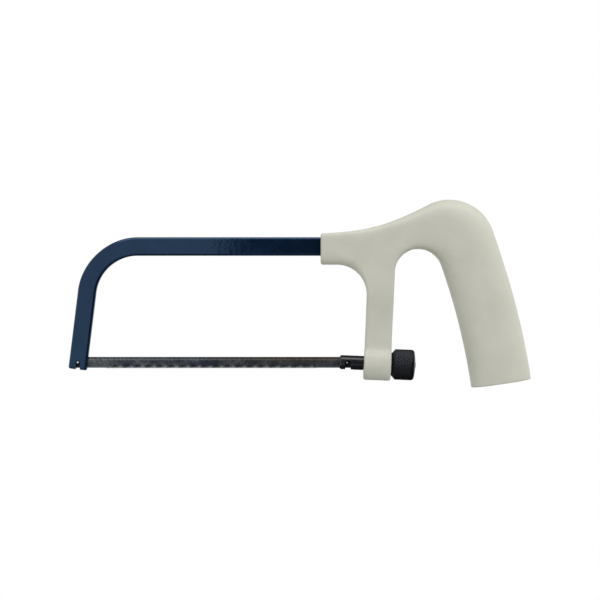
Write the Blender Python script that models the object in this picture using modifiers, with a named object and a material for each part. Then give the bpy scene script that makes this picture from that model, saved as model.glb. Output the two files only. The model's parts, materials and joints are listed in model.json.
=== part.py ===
"""Mini hacksaw: a bent bar frame, a moulded pistol handle and a pinned blade drawn tight by a thumb nut.

The saw lies in the XZ plane and is symmetric about Y = 0. +X runs along the blade to the handle and +Z
from the blade to the bar. The pieces are laid out from the rear blade pin, and the middle of the grip,
where a hand holds the saw, is the world origin. Sizes are in metres and angles in degrees.
"""

import math

import bmesh
import bpy
import numpy as np
from mathutils import Vector

# Fits between pieces
SEAT_GAP = 0.0003            # between pieces that seat on each other
PIN_GAP = 0.00015            # round a blade pin

# Blade and its two pins
PIN_SPACING = 0.145
PIN_DIAMETER = 0.0023
PIN_LENGTH = 0.006
BLADE_OVERHANG = 0.0025      # blade past each pin
BLADE_HEIGHT = 0.006
BLADE_THICKNESS = 0.00065
PLAIN_END = 0.016            # blade without teeth, inwards from each pin
TOOTH_PITCH = 0.0008
TOOTH_DEPTH = 0.0005
TOOTH_FACE_RUN = 0.00015     # a tooth's steep front, along the blade
SET_WAVE = 0.0061            # one wave of the tooth line, along the blade
SET_SWAY = 0.00025           # tooth tips to either side
SET_BAND = 0.0015            # height of blade that the set bends

# Bar frame
BAR_HEIGHT = 0.010           # in the saw plane
BAR_THICKNESS = 0.006
BAR_EDGE_RADIUS = 0.0012
BAR_END_ROUND = 0.0008
BAR_RISE = 0.0624            # bar's middle above the pins
BEND_RADIUS = 0.0265         # at the bar's middle
LEG_LEAN = 6.8               # front leg, foot forwards
LEG_BELOW_PIN = 0.0033
PIN_FORWARD = 0.0007         # front pin ahead of the leg's middle
TANG_LENGTH = 0.030          # bar inside the handle
TANG_SCALE = 0.96            # bare tang's section, against the bar's

# Handle: neck, hump and grip
NECK_REACH = 0.0141          # neck's front face ahead of the rear pin
NECK_HEIGHT = 0.0161
NECK_THICKNESS = 0.0135
NECK_DROP = 0.00095          # neck's middle below the bar's
NECK_SLOPE = 2.5             # rise of the neck's top edge
NECK_TOP_POWER = 7.0         # squareness of the neck's section, where 2 is an ellipse
NECK_UNDER_POWER = 3.0
NECK_ROUND = 0.0012
KEY_DIAMETER = 0.005         # moulded key through the tang
KEY_DEPTH = 0.018            # key behind the neck's front face
SHOULDER_SLOPE = 27.4
HUMP_RADIUS = 0.02425
HUMP_RISE = 0.02525          # hump's top above the bar's middle
HUMP_SETBACK = 0.0167        # hump's centre behind the finger arch's
ARCH_RADIUS = 0.0129
ARCH_DROP = 0.0013           # finger arch's top below the bar's middle
GRIP_LENGTH = 0.068          # front edge, from the arch to the butt
GRIP_WIDTH = 0.032
GRIP_THICKNESS = 0.024
GRIP_TILT = 19.5             # grip's edges from upright, below the arch
BUTT_TILT = 9.0              # and at the butt
GRIP_POWER = 2.5
SECTION_RUN = 0.080          # length over which the neck's section turns into the grip's
BUTT_ROUND = 0.0005

# Handle: post and boss
POST_SETBACK = 0.009         # post's front face behind the rear pin
POST_WIDTH = 0.0146
POST_THICKNESS = 0.010
POST_ROUND = 0.0015
THROAT_RADIUS = 0.0162       # corner between the neck and the post
BOSS_DIAMETER = 0.018
BOSS_PROUD = 0.0003          # boss past the post's front and rear faces
BOSS_ROUND = 0.0008

# Tension spindle and thumb nut
TENSION_TILT = 2.4           # spindle's axis, downwards to the rear
SPINDLE_DIAMETER = 0.007
SPINDLE_NOSE = 0.0042        # spindle ahead of the rear pin
SPINDLE_CHAMFER = 0.0005
SPINDLE_FLAT = 0.0007        # depth of the flat that stops it turning
NOTCH_FLARE = 0.0006         # widening of the pin notch at its mouth
THREAD_DIAMETER = 0.005
THREAD_PITCH = 0.0008
THREAD_RUNOUT = 0.003        # thread inside the boss
SLACK_TURNS = 1.0            # turns of the nut that free the blade
NUT_DIAMETER = 0.016
NUT_LENGTH = 0.013
NUT_FACE_DIAMETER = 0.0124
NUT_CONE = 0.0024            # length of the cone behind the face
NUT_ROUND = 0.0014
NUT_END_WALL = 0.002
NUT_PIP_DIAMETER = 0.003     # turning pip on the nut's end
NUT_PIP_HEIGHT = 0.0003

# Smoothness of round forms
ROUND_SIDES = 48
SECTION_SIDES = 32
ARC_STEP = 6.0
END_STEPS = 3

# Places that follow from the sizes above
SLACK_TRAVEL = SLACK_TURNS * THREAD_PITCH
POST_REAR = POST_SETBACK + POST_WIDTH
NUT_FACE = POST_REAR + BOSS_PROUD + SEAT_GAP
NECK_MIDDLE = BAR_RISE - NECK_DROP
NECK_UNDERSIDE = NECK_MIDDLE - NECK_HEIGHT / 2
TILT = math.radians(TENSION_TILT)


def tension_point(along, above):
    """Point of the saw plane at a distance along the spindle's axis and above it."""
    return Vector((along * math.cos(TILT) + above * math.sin(TILT),
                   above * math.cos(TILT) - along * math.sin(TILT)))


def polar(centre, radius, angle):
    """Point on a circle of the saw plane, angle counted from +X towards +Z."""
    turn = math.radians(angle)
    return Vector((centre[0] + radius * math.cos(turn), centre[1] + radius * math.sin(turn)))


def arc(centre, radius, start, end):
    """Points on a circle of the saw plane from one angle to another."""
    steps = max(2, math.ceil(abs(end - start) / ARC_STEP))
    return [polar(centre, radius, start + (end - start) * i / steps) for i in range(steps + 1)]


def bezier(start, start_handle, end_handle, end, steps=16):
    """Points of a cubic curve in the saw plane."""
    points = []
    for i in range(steps + 1):
        t = i / steps
        s = 1 - t
        points.append(start * s ** 3 + start_handle * 3 * s * s * t
                      + end_handle * 3 * s * t * t + end * t ** 3)
    return points


def resample(points, count):
    """Evenly spaced points along a chain of points."""
    chain = np.array([tuple(point) for point in points])
    steps = np.linalg.norm(np.diff(chain, axis=0), axis=1)
    run = np.concatenate(([0.0], np.cumsum(steps)))
    places = np.linspace(0.0, run[-1], count)
    return np.column_stack([np.interp(places, run, chain[:, axis]) for axis in range(2)])


def clear_scene():
    """Remove whatever the scene holds."""
    for item in list(bpy.data.objects):
        bpy.data.objects.remove(item, do_unlink=True)


def new_collection(name):
    """Collection under the scene."""
    collection = bpy.data.collections.new(name)
    bpy.context.scene.collection.children.link(collection)
    return collection


def place(name, mesh, collection, parent):
    """Object for a mesh, in a collection and under a parent."""
    item = bpy.data.objects.new(name, mesh)
    collection.objects.link(item)
    item.parent = parent
    return item


def cutter(item):
    """Mark an object as a shape that only cuts or joins others."""
    item.hide_render = True
    item.display_type = 'WIRE'
    return item


def combine(target, other, operation):
    """Boolean modifier on a target."""
    modifier = target.modifiers.new(other.name, 'BOOLEAN')
    modifier.operation = operation
    modifier.object = other
    modifier.solver = 'EXACT'


def round_edges(item, width, segments=END_STEPS):
    """Bevel on an object's sharp edges."""
    modifier = item.modifiers.new('rounded edges', 'BEVEL')
    modifier.width = width
    modifier.segments = segments
    modifier.limit_method = 'ANGLE'
    modifier.angle_limit = math.radians(50)


def smooth(item, angle=35):
    """Smooth shading that keeps the sharp edges."""
    item.data.shade_smooth()
    item.data.set_sharp_from_angle(angle=math.radians(angle))


def finish(item, name, colour, roughness, metallic):
    """Give an object its own material."""
    material = bpy.data.materials.new(name)
    material.use_nodes = True
    shader = material.node_tree.nodes['Principled BSDF']
    shader.inputs['Base Color'].default_value = (*colour, 1.0)
    shader.inputs['Roughness'].default_value = roughness
    shader.inputs['Metallic'].default_value = metallic
    item.data.materials.append(material)


def box(name, size, centre, collection, parent):
    """Box of a given size about a centre."""
    work = bmesh.new()
    bmesh.ops.create_cube(work, size=1.0)
    bmesh.ops.scale(work, vec=size, verts=work.verts)
    bmesh.ops.translate(work, vec=centre, verts=work.verts)
    mesh = bpy.data.meshes.new(name)
    work.to_mesh(mesh)
    work.free()
    return place(name, mesh, collection, parent)


def rod(name, diameter, length, collection, parent, sides=ROUND_SIDES):
    """Cylinder about its parent's Z axis, centred on its own origin."""
    work = bmesh.new()
    bmesh.ops.create_cone(work, cap_ends=True, segments=sides, radius1=diameter / 2,
                          radius2=diameter / 2, depth=length)
    mesh = bpy.data.meshes.new(name)
    work.to_mesh(mesh)
    work.free()
    return place(name, mesh, collection, parent)


def cross_rod(name, diameter, length, at, collection, parent, sides=ROUND_SIDES):
    """Cylinder across the saw plane at a point of it."""
    item = rod(name, diameter, length, collection, parent, sides)
    item.location = (at[0], 0.0, at[1])
    item.rotation_euler.x = math.radians(90)
    return item


def turned(name, profile, collection, parent):
    """Solid turned about its own Z axis from (radius, height) points, top to bottom."""
    mesh = bpy.data.meshes.new(name)
    points = [(radius, 0.0, height) for radius, height in profile]
    mesh.from_pydata(points, [(i, i + 1) for i in range(len(points) - 1)], [])
    item = place(name, mesh, collection, parent)
    modifier = item.modifiers.new('turned', 'SCREW')
    modifier.axis = 'Z'
    modifier.steps = ROUND_SIDES
    modifier.render_steps = ROUND_SIDES
    modifier.use_merge_vertices = True
    modifier.merge_threshold = 0.000001
    return item


def mesh_from_curve(curve_object, name, collection, parent):
    """Replace a curve object by a welded mesh object."""
    graph = bpy.context.evaluated_depsgraph_get()
    mesh = bpy.data.meshes.new_from_object(curve_object.evaluated_get(graph))
    mesh.name = name
    mesh.transform(curve_object.matrix_basis)
    bpy.data.objects.remove(curve_object, do_unlink=True)
    work = bmesh.new()
    work.from_mesh(mesh)
    bmesh.ops.remove_doubles(work, verts=work.verts, dist=0.000001)
    bmesh.ops.recalc_face_normals(work, faces=work.faces)
    work.to_mesh(mesh)
    work.free()
    return place(name, mesh, collection, parent)


def poly_curve(name, points, collection, closed):
    """Curve object through points that are given in its own XY plane."""
    curve = bpy.data.curves.new(name, 'CURVE')
    spline = curve.splines.new('POLY')
    spline.points.add(len(points) - 1)
    for slot, point in zip(spline.points, points):
        slot.co = (point[0], point[1], 0.0, 1.0)
    spline.use_cyclic_u = closed
    item = bpy.data.objects.new(name, curve)
    collection.objects.link(item)
    return item


def plate(name, outline, thickness, collection, parent, edge=0.0):
    """Plate with an outline of the saw plane, its rim rounded by an edge radius."""
    item = poly_curve(name, outline, collection, closed=True)
    item.data.dimensions = '2D'
    item.data.fill_mode = 'BOTH'
    item.data.extrude = thickness / 2 - edge
    item.data.bevel_depth = edge
    item.data.bevel_resolution = END_STEPS
    item.data.offset = -edge
    item.rotation_euler.x = math.radians(90)
    bpy.context.view_layer.update()
    return mesh_from_curve(item, name, collection, parent)


def bar_path():
    """Middle line of the bar, from the tang's end round the bend to the front leg's foot."""
    lean = math.radians(LEG_LEAN)
    up_leg = Vector((math.sin(lean), math.cos(lean)))
    into_saw = Vector((math.cos(lean), -math.sin(lean)))
    level = Vector((PIN_FORWARD - PIN_SPACING, 0.0))
    climb = (BAR_RISE - BEND_RADIUS + BEND_RADIUS * math.sin(lean)) / math.cos(lean)
    bend_centre = level + up_leg * climb + into_saw * BEND_RADIUS
    tang_end = Vector((TANG_LENGTH - NECK_REACH, BAR_RISE))
    tang_start = Vector((-NECK_REACH, BAR_RISE))
    mouth = tang_start - Vector((SEAT_GAP, 0.0))
    foot = level - up_leg * LEG_BELOW_PIN
    return [tang_end, tang_start, mouth, *arc(bend_centre, BEND_RADIUS, 90, 180 - LEG_LEAN), foot]


def bar_sweep(name, path, gap, collection, cutters, saw):
    """The bar's rounded section, grown by a gap, carried along a path that starts with the tang."""
    half_height = BAR_HEIGHT / 2 - BAR_EDGE_RADIUS
    half_thickness = BAR_THICKNESS / 2 - BAR_EDGE_RADIUS
    corners = ((half_height, half_thickness), (-half_height, half_thickness),
               (-half_height, -half_thickness), (half_height, -half_thickness))
    outline = []
    for quarter, corner in enumerate(corners):
        for i in range(END_STEPS + 1):
            outline.append(polar(corner, BAR_EDGE_RADIUS + gap, 90 * (quarter + i / END_STEPS)))
    section = poly_curve('bar_section', outline, cutters, closed=True)
    section.data.dimensions = '2D'

    line = poly_curve('bar_line', path, cutters, closed=False)
    line.data.dimensions = '2D'
    for point in line.data.splines[0].points[:2]:
        point.radius = TANG_SCALE
    line.data.bevel_mode = 'OBJECT'
    line.data.bevel_object = section
    line.data.use_fill_caps = True
    line.rotation_euler.x = math.radians(90)
    bpy.context.view_layer.update()
    bar = mesh_from_curve(line, name, collection, saw)
    bpy.data.objects.remove(section, do_unlink=True)
    return bar


def build_frame_bar(parts, cutters, saw):
    """Bent bar with rounded edges, a keyed tang, and a foot slotted for the blade and its pin."""
    bar = bar_sweep('frame_bar', bar_path(), 0.0, parts, cutters, saw)
    round_edges(bar, BAR_END_ROUND)

    front_pin = Vector((-PIN_SPACING, 0.0))
    reach = BAR_HEIGHT + LEG_BELOW_PIN
    slot_top = BLADE_HEIGHT / 2 + SEAT_GAP
    slot = box('bar_blade_slot', (2 * reach, BLADE_THICKNESS + 2 * SEAT_GAP, reach),
               (front_pin.x, 0.0, slot_top - reach / 2), cutters, saw)
    notch = plate('bar_pin_notch', notch_outline(front_pin, 0.0, reach), 2 * BAR_THICKNESS, cutters, saw)
    key_hole = cross_rod('bar_key_hole', KEY_DIAMETER + 2 * SEAT_GAP, 2 * BAR_THICKNESS,
                         (KEY_DEPTH - NECK_REACH, BAR_RISE), cutters, saw)
    for shape in (slot, notch, key_hole):
        combine(bar, cutter(shape), 'DIFFERENCE')
    smooth(bar)
    finish(bar, 'blue enamelled steel', (0.008, 0.024, 0.055), 0.32, 0.0)


def notch_outline(pin, slack, depth, flare=0.0, mouth=0.0):
    """Notch over a pin, open downwards, with slack behind the pin and a mouth that flares."""
    radius = PIN_DIAMETER / 2 + PIN_GAP
    front = pin.x - radius
    rear = pin.x + slack + radius
    outline = arc(pin + Vector((slack, 0.0)), radius, 0, 90) + arc(pin, radius, 90, 180)
    outline += [Vector((front, pin.y - mouth)), Vector((front - flare, pin.y - mouth - flare))]
    outline += [Vector((front - flare, pin.y - depth)), Vector((rear + flare, pin.y - depth))]
    outline += [Vector((rear + flare, pin.y - mouth - flare)), Vector((rear, pin.y - mouth))]
    return [point for i, point in enumerate(outline) if (point - outline[i - 1]).length > 0.0]


def build_blade(parts, cutters, saw):
    """Blade strip whose tooth line sways from side to side, and its two pressed pins."""
    teeth = int((PIN_SPACING - 2 * PLAIN_END) / TOOTH_PITCH)
    first = -PIN_SPACING / 2 - teeth * TOOTH_PITCH / 2
    columns = [(-PIN_SPACING - BLADE_OVERHANG, 0.0)]
    for tooth in range(teeth):
        tip = first + tooth * TOOTH_PITCH
        columns += [(tip, 0.0), (tip + TOOTH_PITCH - TOOTH_FACE_RUN, TOOTH_DEPTH)]
    columns += [(first + teeth * TOOTH_PITCH, 0.0), (BLADE_OVERHANG, 0.0)]

    work = bmesh.new()
    bmesh.ops.create_grid(work, x_segments=len(columns) - 1, y_segments=2, size=1.0)
    rows = 3
    for vertex in work.verts:
        column = round((vertex.co.x + 1) / 2 * (len(columns) - 1))
        row = round((vertex.co.y + 1) / 2 * (rows - 1))
        x, cut = columns[column]
        bottom = -BLADE_HEIGHT / 2
        toothed = 0 < column < len(columns) - 1
        sway = SET_SWAY * math.sin(2 * math.pi * (x - first) / SET_WAVE) if toothed else 0.0
        vertex.co = ((x, sway, bottom + cut), (x, 0.0, bottom + SET_BAND), (x, 0.0, BLADE_HEIGHT / 2))[row]
    mesh = bpy.data.meshes.new('blade')
    work.to_mesh(mesh)
    work.free()
    blade = place('blade', mesh, parts, saw)
    strip = blade.modifiers.new('thickness', 'SOLIDIFY')
    strip.thickness = BLADE_THICKNESS
    strip.offset = 0.0
    finish(blade, 'hardened blade steel', (0.052, 0.055, 0.060), 0.42, 0.9)

    for name, x in (('blade_pin_front', -PIN_SPACING), ('blade_pin_rear', 0.0)):
        hole = cross_rod(name + '_hole', PIN_DIAMETER + 2 * PIN_GAP, PIN_LENGTH, (x, 0.0), cutters, saw)
        combine(blade, cutter(hole), 'DIFFERENCE')
        pin = cross_rod(name, PIN_DIAMETER, PIN_LENGTH, (x, 0.0), parts, saw)
        smooth(pin)
        finish(pin, name.replace('_', ' ') + ' steel', (0.30, 0.30, 0.31), 0.35, 1.0)


def handle_guides():
    """Inner and outer edges of the neck, hump and grip, as matching points, and the middle of the grip."""
    front = -NECK_REACH + NECK_ROUND
    post_line = tension_point(POST_REAR, BAR_RISE - ARCH_DROP - ARCH_RADIUS)
    arch = Vector((post_line.x + ARCH_RADIUS / math.cos(TILT), BAR_RISE - ARCH_DROP - ARCH_RADIUS))
    arch_top = polar(arch, ARCH_RADIUS, 90)
    throat_end = Vector((tension_point(POST_SETBACK, NECK_UNDERSIDE).x, NECK_UNDERSIDE))
    rise = Vector(((arch_top.x - throat_end.x) / 2, 0.0))
    underside = [Vector((front, NECK_UNDERSIDE)),
                 *bezier(throat_end, throat_end + rise, arch_top - rise, arch_top)]
    finger = arc(arch, ARCH_RADIUS, 90, GRIP_TILT)
    grip_front = swing(finger[-1], GRIP_TILT, BUTT_TILT, GRIP_LENGTH)

    hump = Vector((arch.x + HUMP_SETBACK, BAR_RISE + HUMP_RISE - HUMP_RADIUS))
    shoulder = polar(hump, HUMP_RADIUS, 90 + SHOULDER_SLOPE)
    neck_top = Vector((front, NECK_MIDDLE + NECK_HEIGHT / 2))
    back = neck_to_hump(neck_top, shoulder) + arc(hump, HUMP_RADIUS, 90 + SHOULDER_SLOPE, GRIP_TILT)[1:]
    butt_rear = grip_front[-1] + polar((0.0, 0.0), GRIP_WIDTH, BUTT_TILT)
    stretch = (butt_rear - back[-1]).length / 3
    down = polar((0.0, 0.0), stretch, GRIP_TILT - 90)
    butt_down = polar((0.0, 0.0), stretch, BUTT_TILT - 90)
    grip_rear = bezier(back[-1], back[-1] + down, butt_rear - butt_down, butt_rear)

    above_arch = min(range(len(back)), key=lambda i: (back[i] - arch_top).length)
    inner_runs = (underside, finger, grip_front)
    outer_runs = (back[:above_arch + 1], back[above_arch:], grip_rear)
    counts = (14, 12, 9)
    inner = np.vstack([resample(run, n)[:-1] for run, n in zip(inner_runs, counts)] + [[grip_front[-1]]])
    outer = np.vstack([resample(run, n)[:-1] for run, n in zip(outer_runs, counts)] + [[butt_rear]])
    middle = counts[2] // 2
    hand = (resample(grip_front, counts[2])[middle] + resample(grip_rear, counts[2])[middle]) / 2
    return inner, outer, hand, arch


def swing(start, first_tilt, last_tilt, length):
    """Gentle bend of a given length that leaves at one tilt from upright and ends at another."""
    points = [start]
    steps = 16
    for i in range(steps):
        tilt = first_tilt + (last_tilt - first_tilt) * (i + 0.5) / steps
        points.append(points[-1] + polar((0.0, 0.0), length / steps, tilt - 90))
    return points


def neck_to_hump(start, end):
    """Long double curve from the neck's top edge up to the hump's shoulder."""
    first = math.tan(math.radians(NECK_SLOPE))
    last = math.tan(math.radians(SHOULDER_SLOPE))
    x = (end.y - start.y + first * start.x - last * end.x) / (first - last)
    meeting = Vector((x, start.y + first * (x - start.x)))
    fullness = 0.8
    return bezier(start, start.lerp(meeting, fullness), end.lerp(meeting, fullness), end, steps=24)


def rounded_end(ring, outwards, radius):
    """Rings that carry a section round an edge radius to a flat end."""
    centre = ring.mean(axis=0)
    spokes = ring - centre
    lengths = np.linalg.norm(spokes, axis=1, keepdims=True)
    rings = []
    for i in range(1, END_STEPS + 1):
        turn = math.pi / 2 * i / END_STEPS
        inset = radius * (1 - math.cos(turn))
        rings.append(ring - spokes / lengths * inset + outwards * radius * math.sin(turn))
    return rings


def loft_handle(inner, outer, parts, saw):
    """Loft of rounded sections, each spanning an inner and an outer edge point, neck to butt."""
    middle = (inner + outer) / 2
    run = np.concatenate(([0.0], np.cumsum(np.linalg.norm(np.diff(middle, axis=0), axis=1))))
    share = np.minimum(run / SECTION_RUN, 1.0)
    blend = share * share * (3 - 2 * share)
    half_thickness = (NECK_THICKNESS + (GRIP_THICKNESS - NECK_THICKNESS) * blend) / 2
    top_power = NECK_TOP_POWER + (GRIP_POWER - NECK_TOP_POWER) * blend
    under_power = NECK_UNDER_POWER + (GRIP_POWER - NECK_UNDER_POWER) * blend

    turn = np.linspace(0.0, 2 * math.pi, SECTION_SIDES, endpoint=False)
    rings = []
    for centre, edge, half, top, under in zip(middle, outer, half_thickness, top_power, under_power):
        n = np.where(np.sin(turn) > 0.0, top, under)
        up = np.sign(np.sin(turn)) * np.abs(np.sin(turn)) ** (2 / n)
        side = np.sign(np.cos(turn)) * np.abs(np.cos(turn)) ** (2 / n)
        flat = centre + up[:, None] * (edge - centre)
        rings.append(np.column_stack([flat[:, 0], side * half, flat[:, 1]]))
    butt_out = polar((0.0, 0.0), 1.0, BUTT_TILT - 90)
    neck_end = rounded_end(rings[0], np.array([-1.0, 0.0, 0.0]), NECK_ROUND)
    butt_end = rounded_end(rings[-1], np.array([butt_out.x, 0.0, butt_out.y]), BUTT_ROUND)
    rings = neck_end[::-1] + rings + butt_end

    faces = [tuple(range(SECTION_SIDES)), tuple(reversed(range((len(rings) - 1) * SECTION_SIDES,
                                                               len(rings) * SECTION_SIDES)))]
    for ring in range(len(rings) - 1):
        for i in range(SECTION_SIDES):
            near = ring * SECTION_SIDES
            step = (i + 1) % SECTION_SIDES
            faces.append((near + i, near + SECTION_SIDES + i, near + SECTION_SIDES + step, near + step))
    mesh = bpy.data.meshes.new('handle')
    mesh.from_pydata(np.vstack(rings).tolist(), [], faces)
    work = bmesh.new()
    work.from_mesh(mesh)
    bmesh.ops.recalc_face_normals(work, faces=work.faces)
    work.to_mesh(mesh)
    work.free()
    return place('handle', mesh, parts, saw)


def post_outline(arch):
    """Outline of the post, from the throat's corner down to the boss and up round the finger arch."""
    centre_rise = NECK_UNDERSIDE - THROAT_RADIUS
    along = POST_SETBACK - THROAT_RADIUS
    above = (centre_rise + along * math.sin(TILT)) / math.cos(TILT)
    throat = tension_point(along, above)
    foot_front = tension_point(POST_SETBACK + POST_ROUND, 0.0)
    foot_rear = tension_point(POST_REAR - POST_ROUND, 0.0)
    dive = 95
    outline = arc(throat, THROAT_RADIUS, 90, -TENSION_TILT)
    outline += arc(foot_front, POST_ROUND, 180 - TENSION_TILT, 270 - TENSION_TILT)
    outline += arc(foot_rear, POST_ROUND, 270 - TENSION_TILT, 360 - TENSION_TILT)
    outline += arc(arch, ARCH_RADIUS, 180 - TENSION_TILT, dive)
    outline += [Vector((outline[-1].x, BAR_RISE + BAR_HEIGHT / 2)), Vector((throat.x, BAR_RISE))]
    return outline


def build_handle(inner, outer, arch, parts, cutters, saw, axis):
    """One moulding: lofted neck, hump and grip, a post with its boss, the tang's pocket and a bore."""
    handle = loft_handle(inner, outer, parts, saw)

    post = plate('handle_post', post_outline(arch), POST_THICKNESS, cutters, saw, POST_ROUND)
    boss_length = POST_WIDTH + 2 * BOSS_PROUD
    boss = rod('handle_boss', BOSS_DIAMETER, boss_length, cutters, axis)
    boss.location.z = POST_SETBACK + POST_WIDTH / 2
    round_edges(boss, BOSS_ROUND)
    for shape in (post, boss):
        combine(handle, cutter(shape), 'UNION')

    pocket_line = [Vector((-NECK_REACH - NECK_ROUND, BAR_RISE)),
                   Vector((TANG_LENGTH - NECK_REACH + SEAT_GAP, BAR_RISE))]
    pocket = bar_sweep('handle_tang_pocket', pocket_line, SEAT_GAP, cutters, cutters, saw)
    key = cross_rod('handle_tang_key', KEY_DIAMETER, (NECK_THICKNESS + BAR_THICKNESS) / 2,
                    (KEY_DEPTH - NECK_REACH, BAR_RISE), cutters, saw)
    combine(handle, cutter(pocket), 'DIFFERENCE')
    combine(handle, cutter(key), 'UNION')

    bore = rod('handle_spindle_bore', SPINDLE_DIAMETER + 2 * SEAT_GAP, 2 * boss_length, cutters, axis)
    bore.location.z = boss.location.z
    flat = box('handle_bore_flat', (SPINDLE_FLAT * 2, SPINDLE_DIAMETER * 2, 3 * boss_length),
               (SPINDLE_DIAMETER / 2 + SEAT_GAP, 0.0, 0.0), cutters, bore)
    combine(bore, cutter(flat), 'DIFFERENCE')
    combine(handle, cutter(bore), 'DIFFERENCE')
    smooth(handle)
    finish(handle, 'grey moulded plastic', (0.50, 0.50, 0.43), 0.55, 0.0)


def build_spindle(parts, cutters, axis):
    """Spindle forked for the blade, notched for its rear pin, and threaded for the nut."""
    radius = SPINDLE_DIAMETER / 2
    thread_radius = THREAD_DIAMETER / 2
    shoulder = POST_REAR - THREAD_RUNOUT
    tip = NUT_FACE + NUT_LENGTH - NUT_END_WALL - 2 * SEAT_GAP
    profile = [(0.0, tip), (thread_radius - SPINDLE_CHAMFER, tip),
               (thread_radius, tip - SPINDLE_CHAMFER), (thread_radius, shoulder),
               (radius, shoulder - (radius - thread_radius)), (radius, SPINDLE_CHAMFER - SPINDLE_NOSE),
               (radius - SPINDLE_CHAMFER, -SPINDLE_NOSE), (0.0, -SPINDLE_NOSE)]
    spindle = turned('tension_spindle', profile, parts, axis)

    slot_rear = BLADE_OVERHANG + SLACK_TRAVEL + SEAT_GAP
    slot_length = slot_rear + 2 * SPINDLE_NOSE
    slot = box('spindle_blade_slot',
               (2 * SPINDLE_DIAMETER, BLADE_THICKNESS + 2 * SEAT_GAP, slot_length),
               (0.0, 0.0, slot_rear - slot_length / 2), cutters, axis)
    outline = notch_outline(Vector((0.0, 0.0)), SLACK_TRAVEL, SPINDLE_DIAMETER, NOTCH_FLARE,
                            radius - NOTCH_FLARE)
    notch = plate('spindle_pin_notch', outline, 2 * SPINDLE_DIAMETER, cutters, axis.parent)
    flat_length = shoulder - POST_SETBACK + BOSS_PROUD + SEAT_GAP
    flat = box('spindle_flat', (SPINDLE_FLAT * 2, SPINDLE_DIAMETER * 2, flat_length),
               (radius, 0.0, shoulder - flat_length / 2), cutters, axis)
    for shape in (slot, notch, flat):
        combine(spindle, cutter(shape), 'DIFFERENCE')
    smooth(spindle)
    finish(spindle, 'black oxide steel', (0.012, 0.012, 0.014), 0.30, 0.6)


def build_nut(parts, axis):
    """Closed thumb nut: a coned face, a gripping band, a rounded end with its pip, and a blind bore."""
    radius = NUT_DIAMETER / 2
    bore_radius = THREAD_DIAMETER / 2 + SEAT_GAP
    bore_end = NUT_LENGTH - NUT_END_WALL
    pip_radius = NUT_PIP_DIAMETER / 2
    crown = arc((radius - NUT_ROUND, NUT_LENGTH - NUT_ROUND), NUT_ROUND, 90, 0)
    profile = [(0.0, NUT_LENGTH + NUT_PIP_HEIGHT), (pip_radius / 2, NUT_LENGTH + NUT_PIP_HEIGHT),
               (pip_radius, NUT_LENGTH)]
    profile += [tuple(point) for point in crown]
    profile += [(radius, NUT_CONE), (NUT_FACE_DIAMETER / 2, 0.0), (bore_radius, 0.0),
                (bore_radius, bore_end), (0.0, bore_end)]
    nut = turned('thumb_nut', profile, parts, axis)
    nut.location.z = NUT_FACE
    smooth(nut)
    finish(nut, 'black knurled steel', (0.022, 0.022, 0.026), 0.45, 0.5)


def main():
    """Build the saw about the middle of its grip."""
    clear_scene()
    parts = new_collection('mini_hacksaw')
    cutters = new_collection('mini_hacksaw_cutters')
    inner, outer, hand, arch = handle_guides()

    saw = place('rear_pin_point', None, parts, None)
    saw.location = (-hand[0], 0.0, -hand[1])
    axis = place('tension_axis', None, parts, saw)
    axis.rotation_euler.y = math.radians(90 + TENSION_TILT)

    build_frame_bar(parts, cutters, saw)
    build_handle(inner, outer, arch, parts, cutters, saw, axis)
    build_blade(parts, cutters, saw)
    build_spindle(parts, cutters, axis)
    build_nut(parts, axis)


main()
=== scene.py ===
import functools
import json
import math

import bpy
import numpy as np
from bpy.props import FloatProperty, FloatVectorProperty, IntProperty, PointerProperty
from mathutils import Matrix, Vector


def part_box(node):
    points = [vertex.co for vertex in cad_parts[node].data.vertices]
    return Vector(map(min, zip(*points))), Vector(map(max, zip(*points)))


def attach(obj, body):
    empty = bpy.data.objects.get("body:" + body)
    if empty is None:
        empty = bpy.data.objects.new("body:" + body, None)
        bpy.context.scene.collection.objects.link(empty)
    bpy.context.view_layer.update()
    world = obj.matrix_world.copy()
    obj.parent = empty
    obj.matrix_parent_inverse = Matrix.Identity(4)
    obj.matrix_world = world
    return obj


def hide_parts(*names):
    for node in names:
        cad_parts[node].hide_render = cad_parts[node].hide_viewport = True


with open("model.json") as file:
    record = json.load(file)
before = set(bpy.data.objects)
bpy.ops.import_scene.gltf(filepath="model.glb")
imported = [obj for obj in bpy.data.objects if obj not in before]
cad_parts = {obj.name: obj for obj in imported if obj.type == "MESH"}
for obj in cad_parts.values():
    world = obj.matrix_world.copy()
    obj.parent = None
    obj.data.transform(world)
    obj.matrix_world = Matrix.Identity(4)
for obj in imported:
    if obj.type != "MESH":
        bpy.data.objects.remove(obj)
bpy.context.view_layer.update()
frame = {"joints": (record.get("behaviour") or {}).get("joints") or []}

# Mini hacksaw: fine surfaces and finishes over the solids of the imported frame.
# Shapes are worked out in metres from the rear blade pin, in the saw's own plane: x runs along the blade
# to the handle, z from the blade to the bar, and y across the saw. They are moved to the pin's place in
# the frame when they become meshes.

bl_info = {
    "name": "Mini hacksaw",
    "version": (1, 0, 0),
    "blender": (4, 5, 0),
    "location": "3D View > Sidebar > Hacksaw",
    "description": "Makes a mini hacksaw's fine surfaces and finishes over its packed solids",
    "category": "Mesh",
}


def middle_of(node):
    """Middle of a solid's box."""
    low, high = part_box(node)
    return (np.array(low) + np.array(high)) / 2


PIN = middle_of("blade_pin_rear")
PIN_SPACING = float(PIN[0] - middle_of("blade_pin_front")[0])
NUT_JOINT = next(joint for joint in frame["joints"] if joint["name"] == "nut_spin")
NUT_FACE = float(np.dot(np.array(NUT_JOINT["pos_m"]) - PIN, NUT_JOINT["axis"]))

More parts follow.
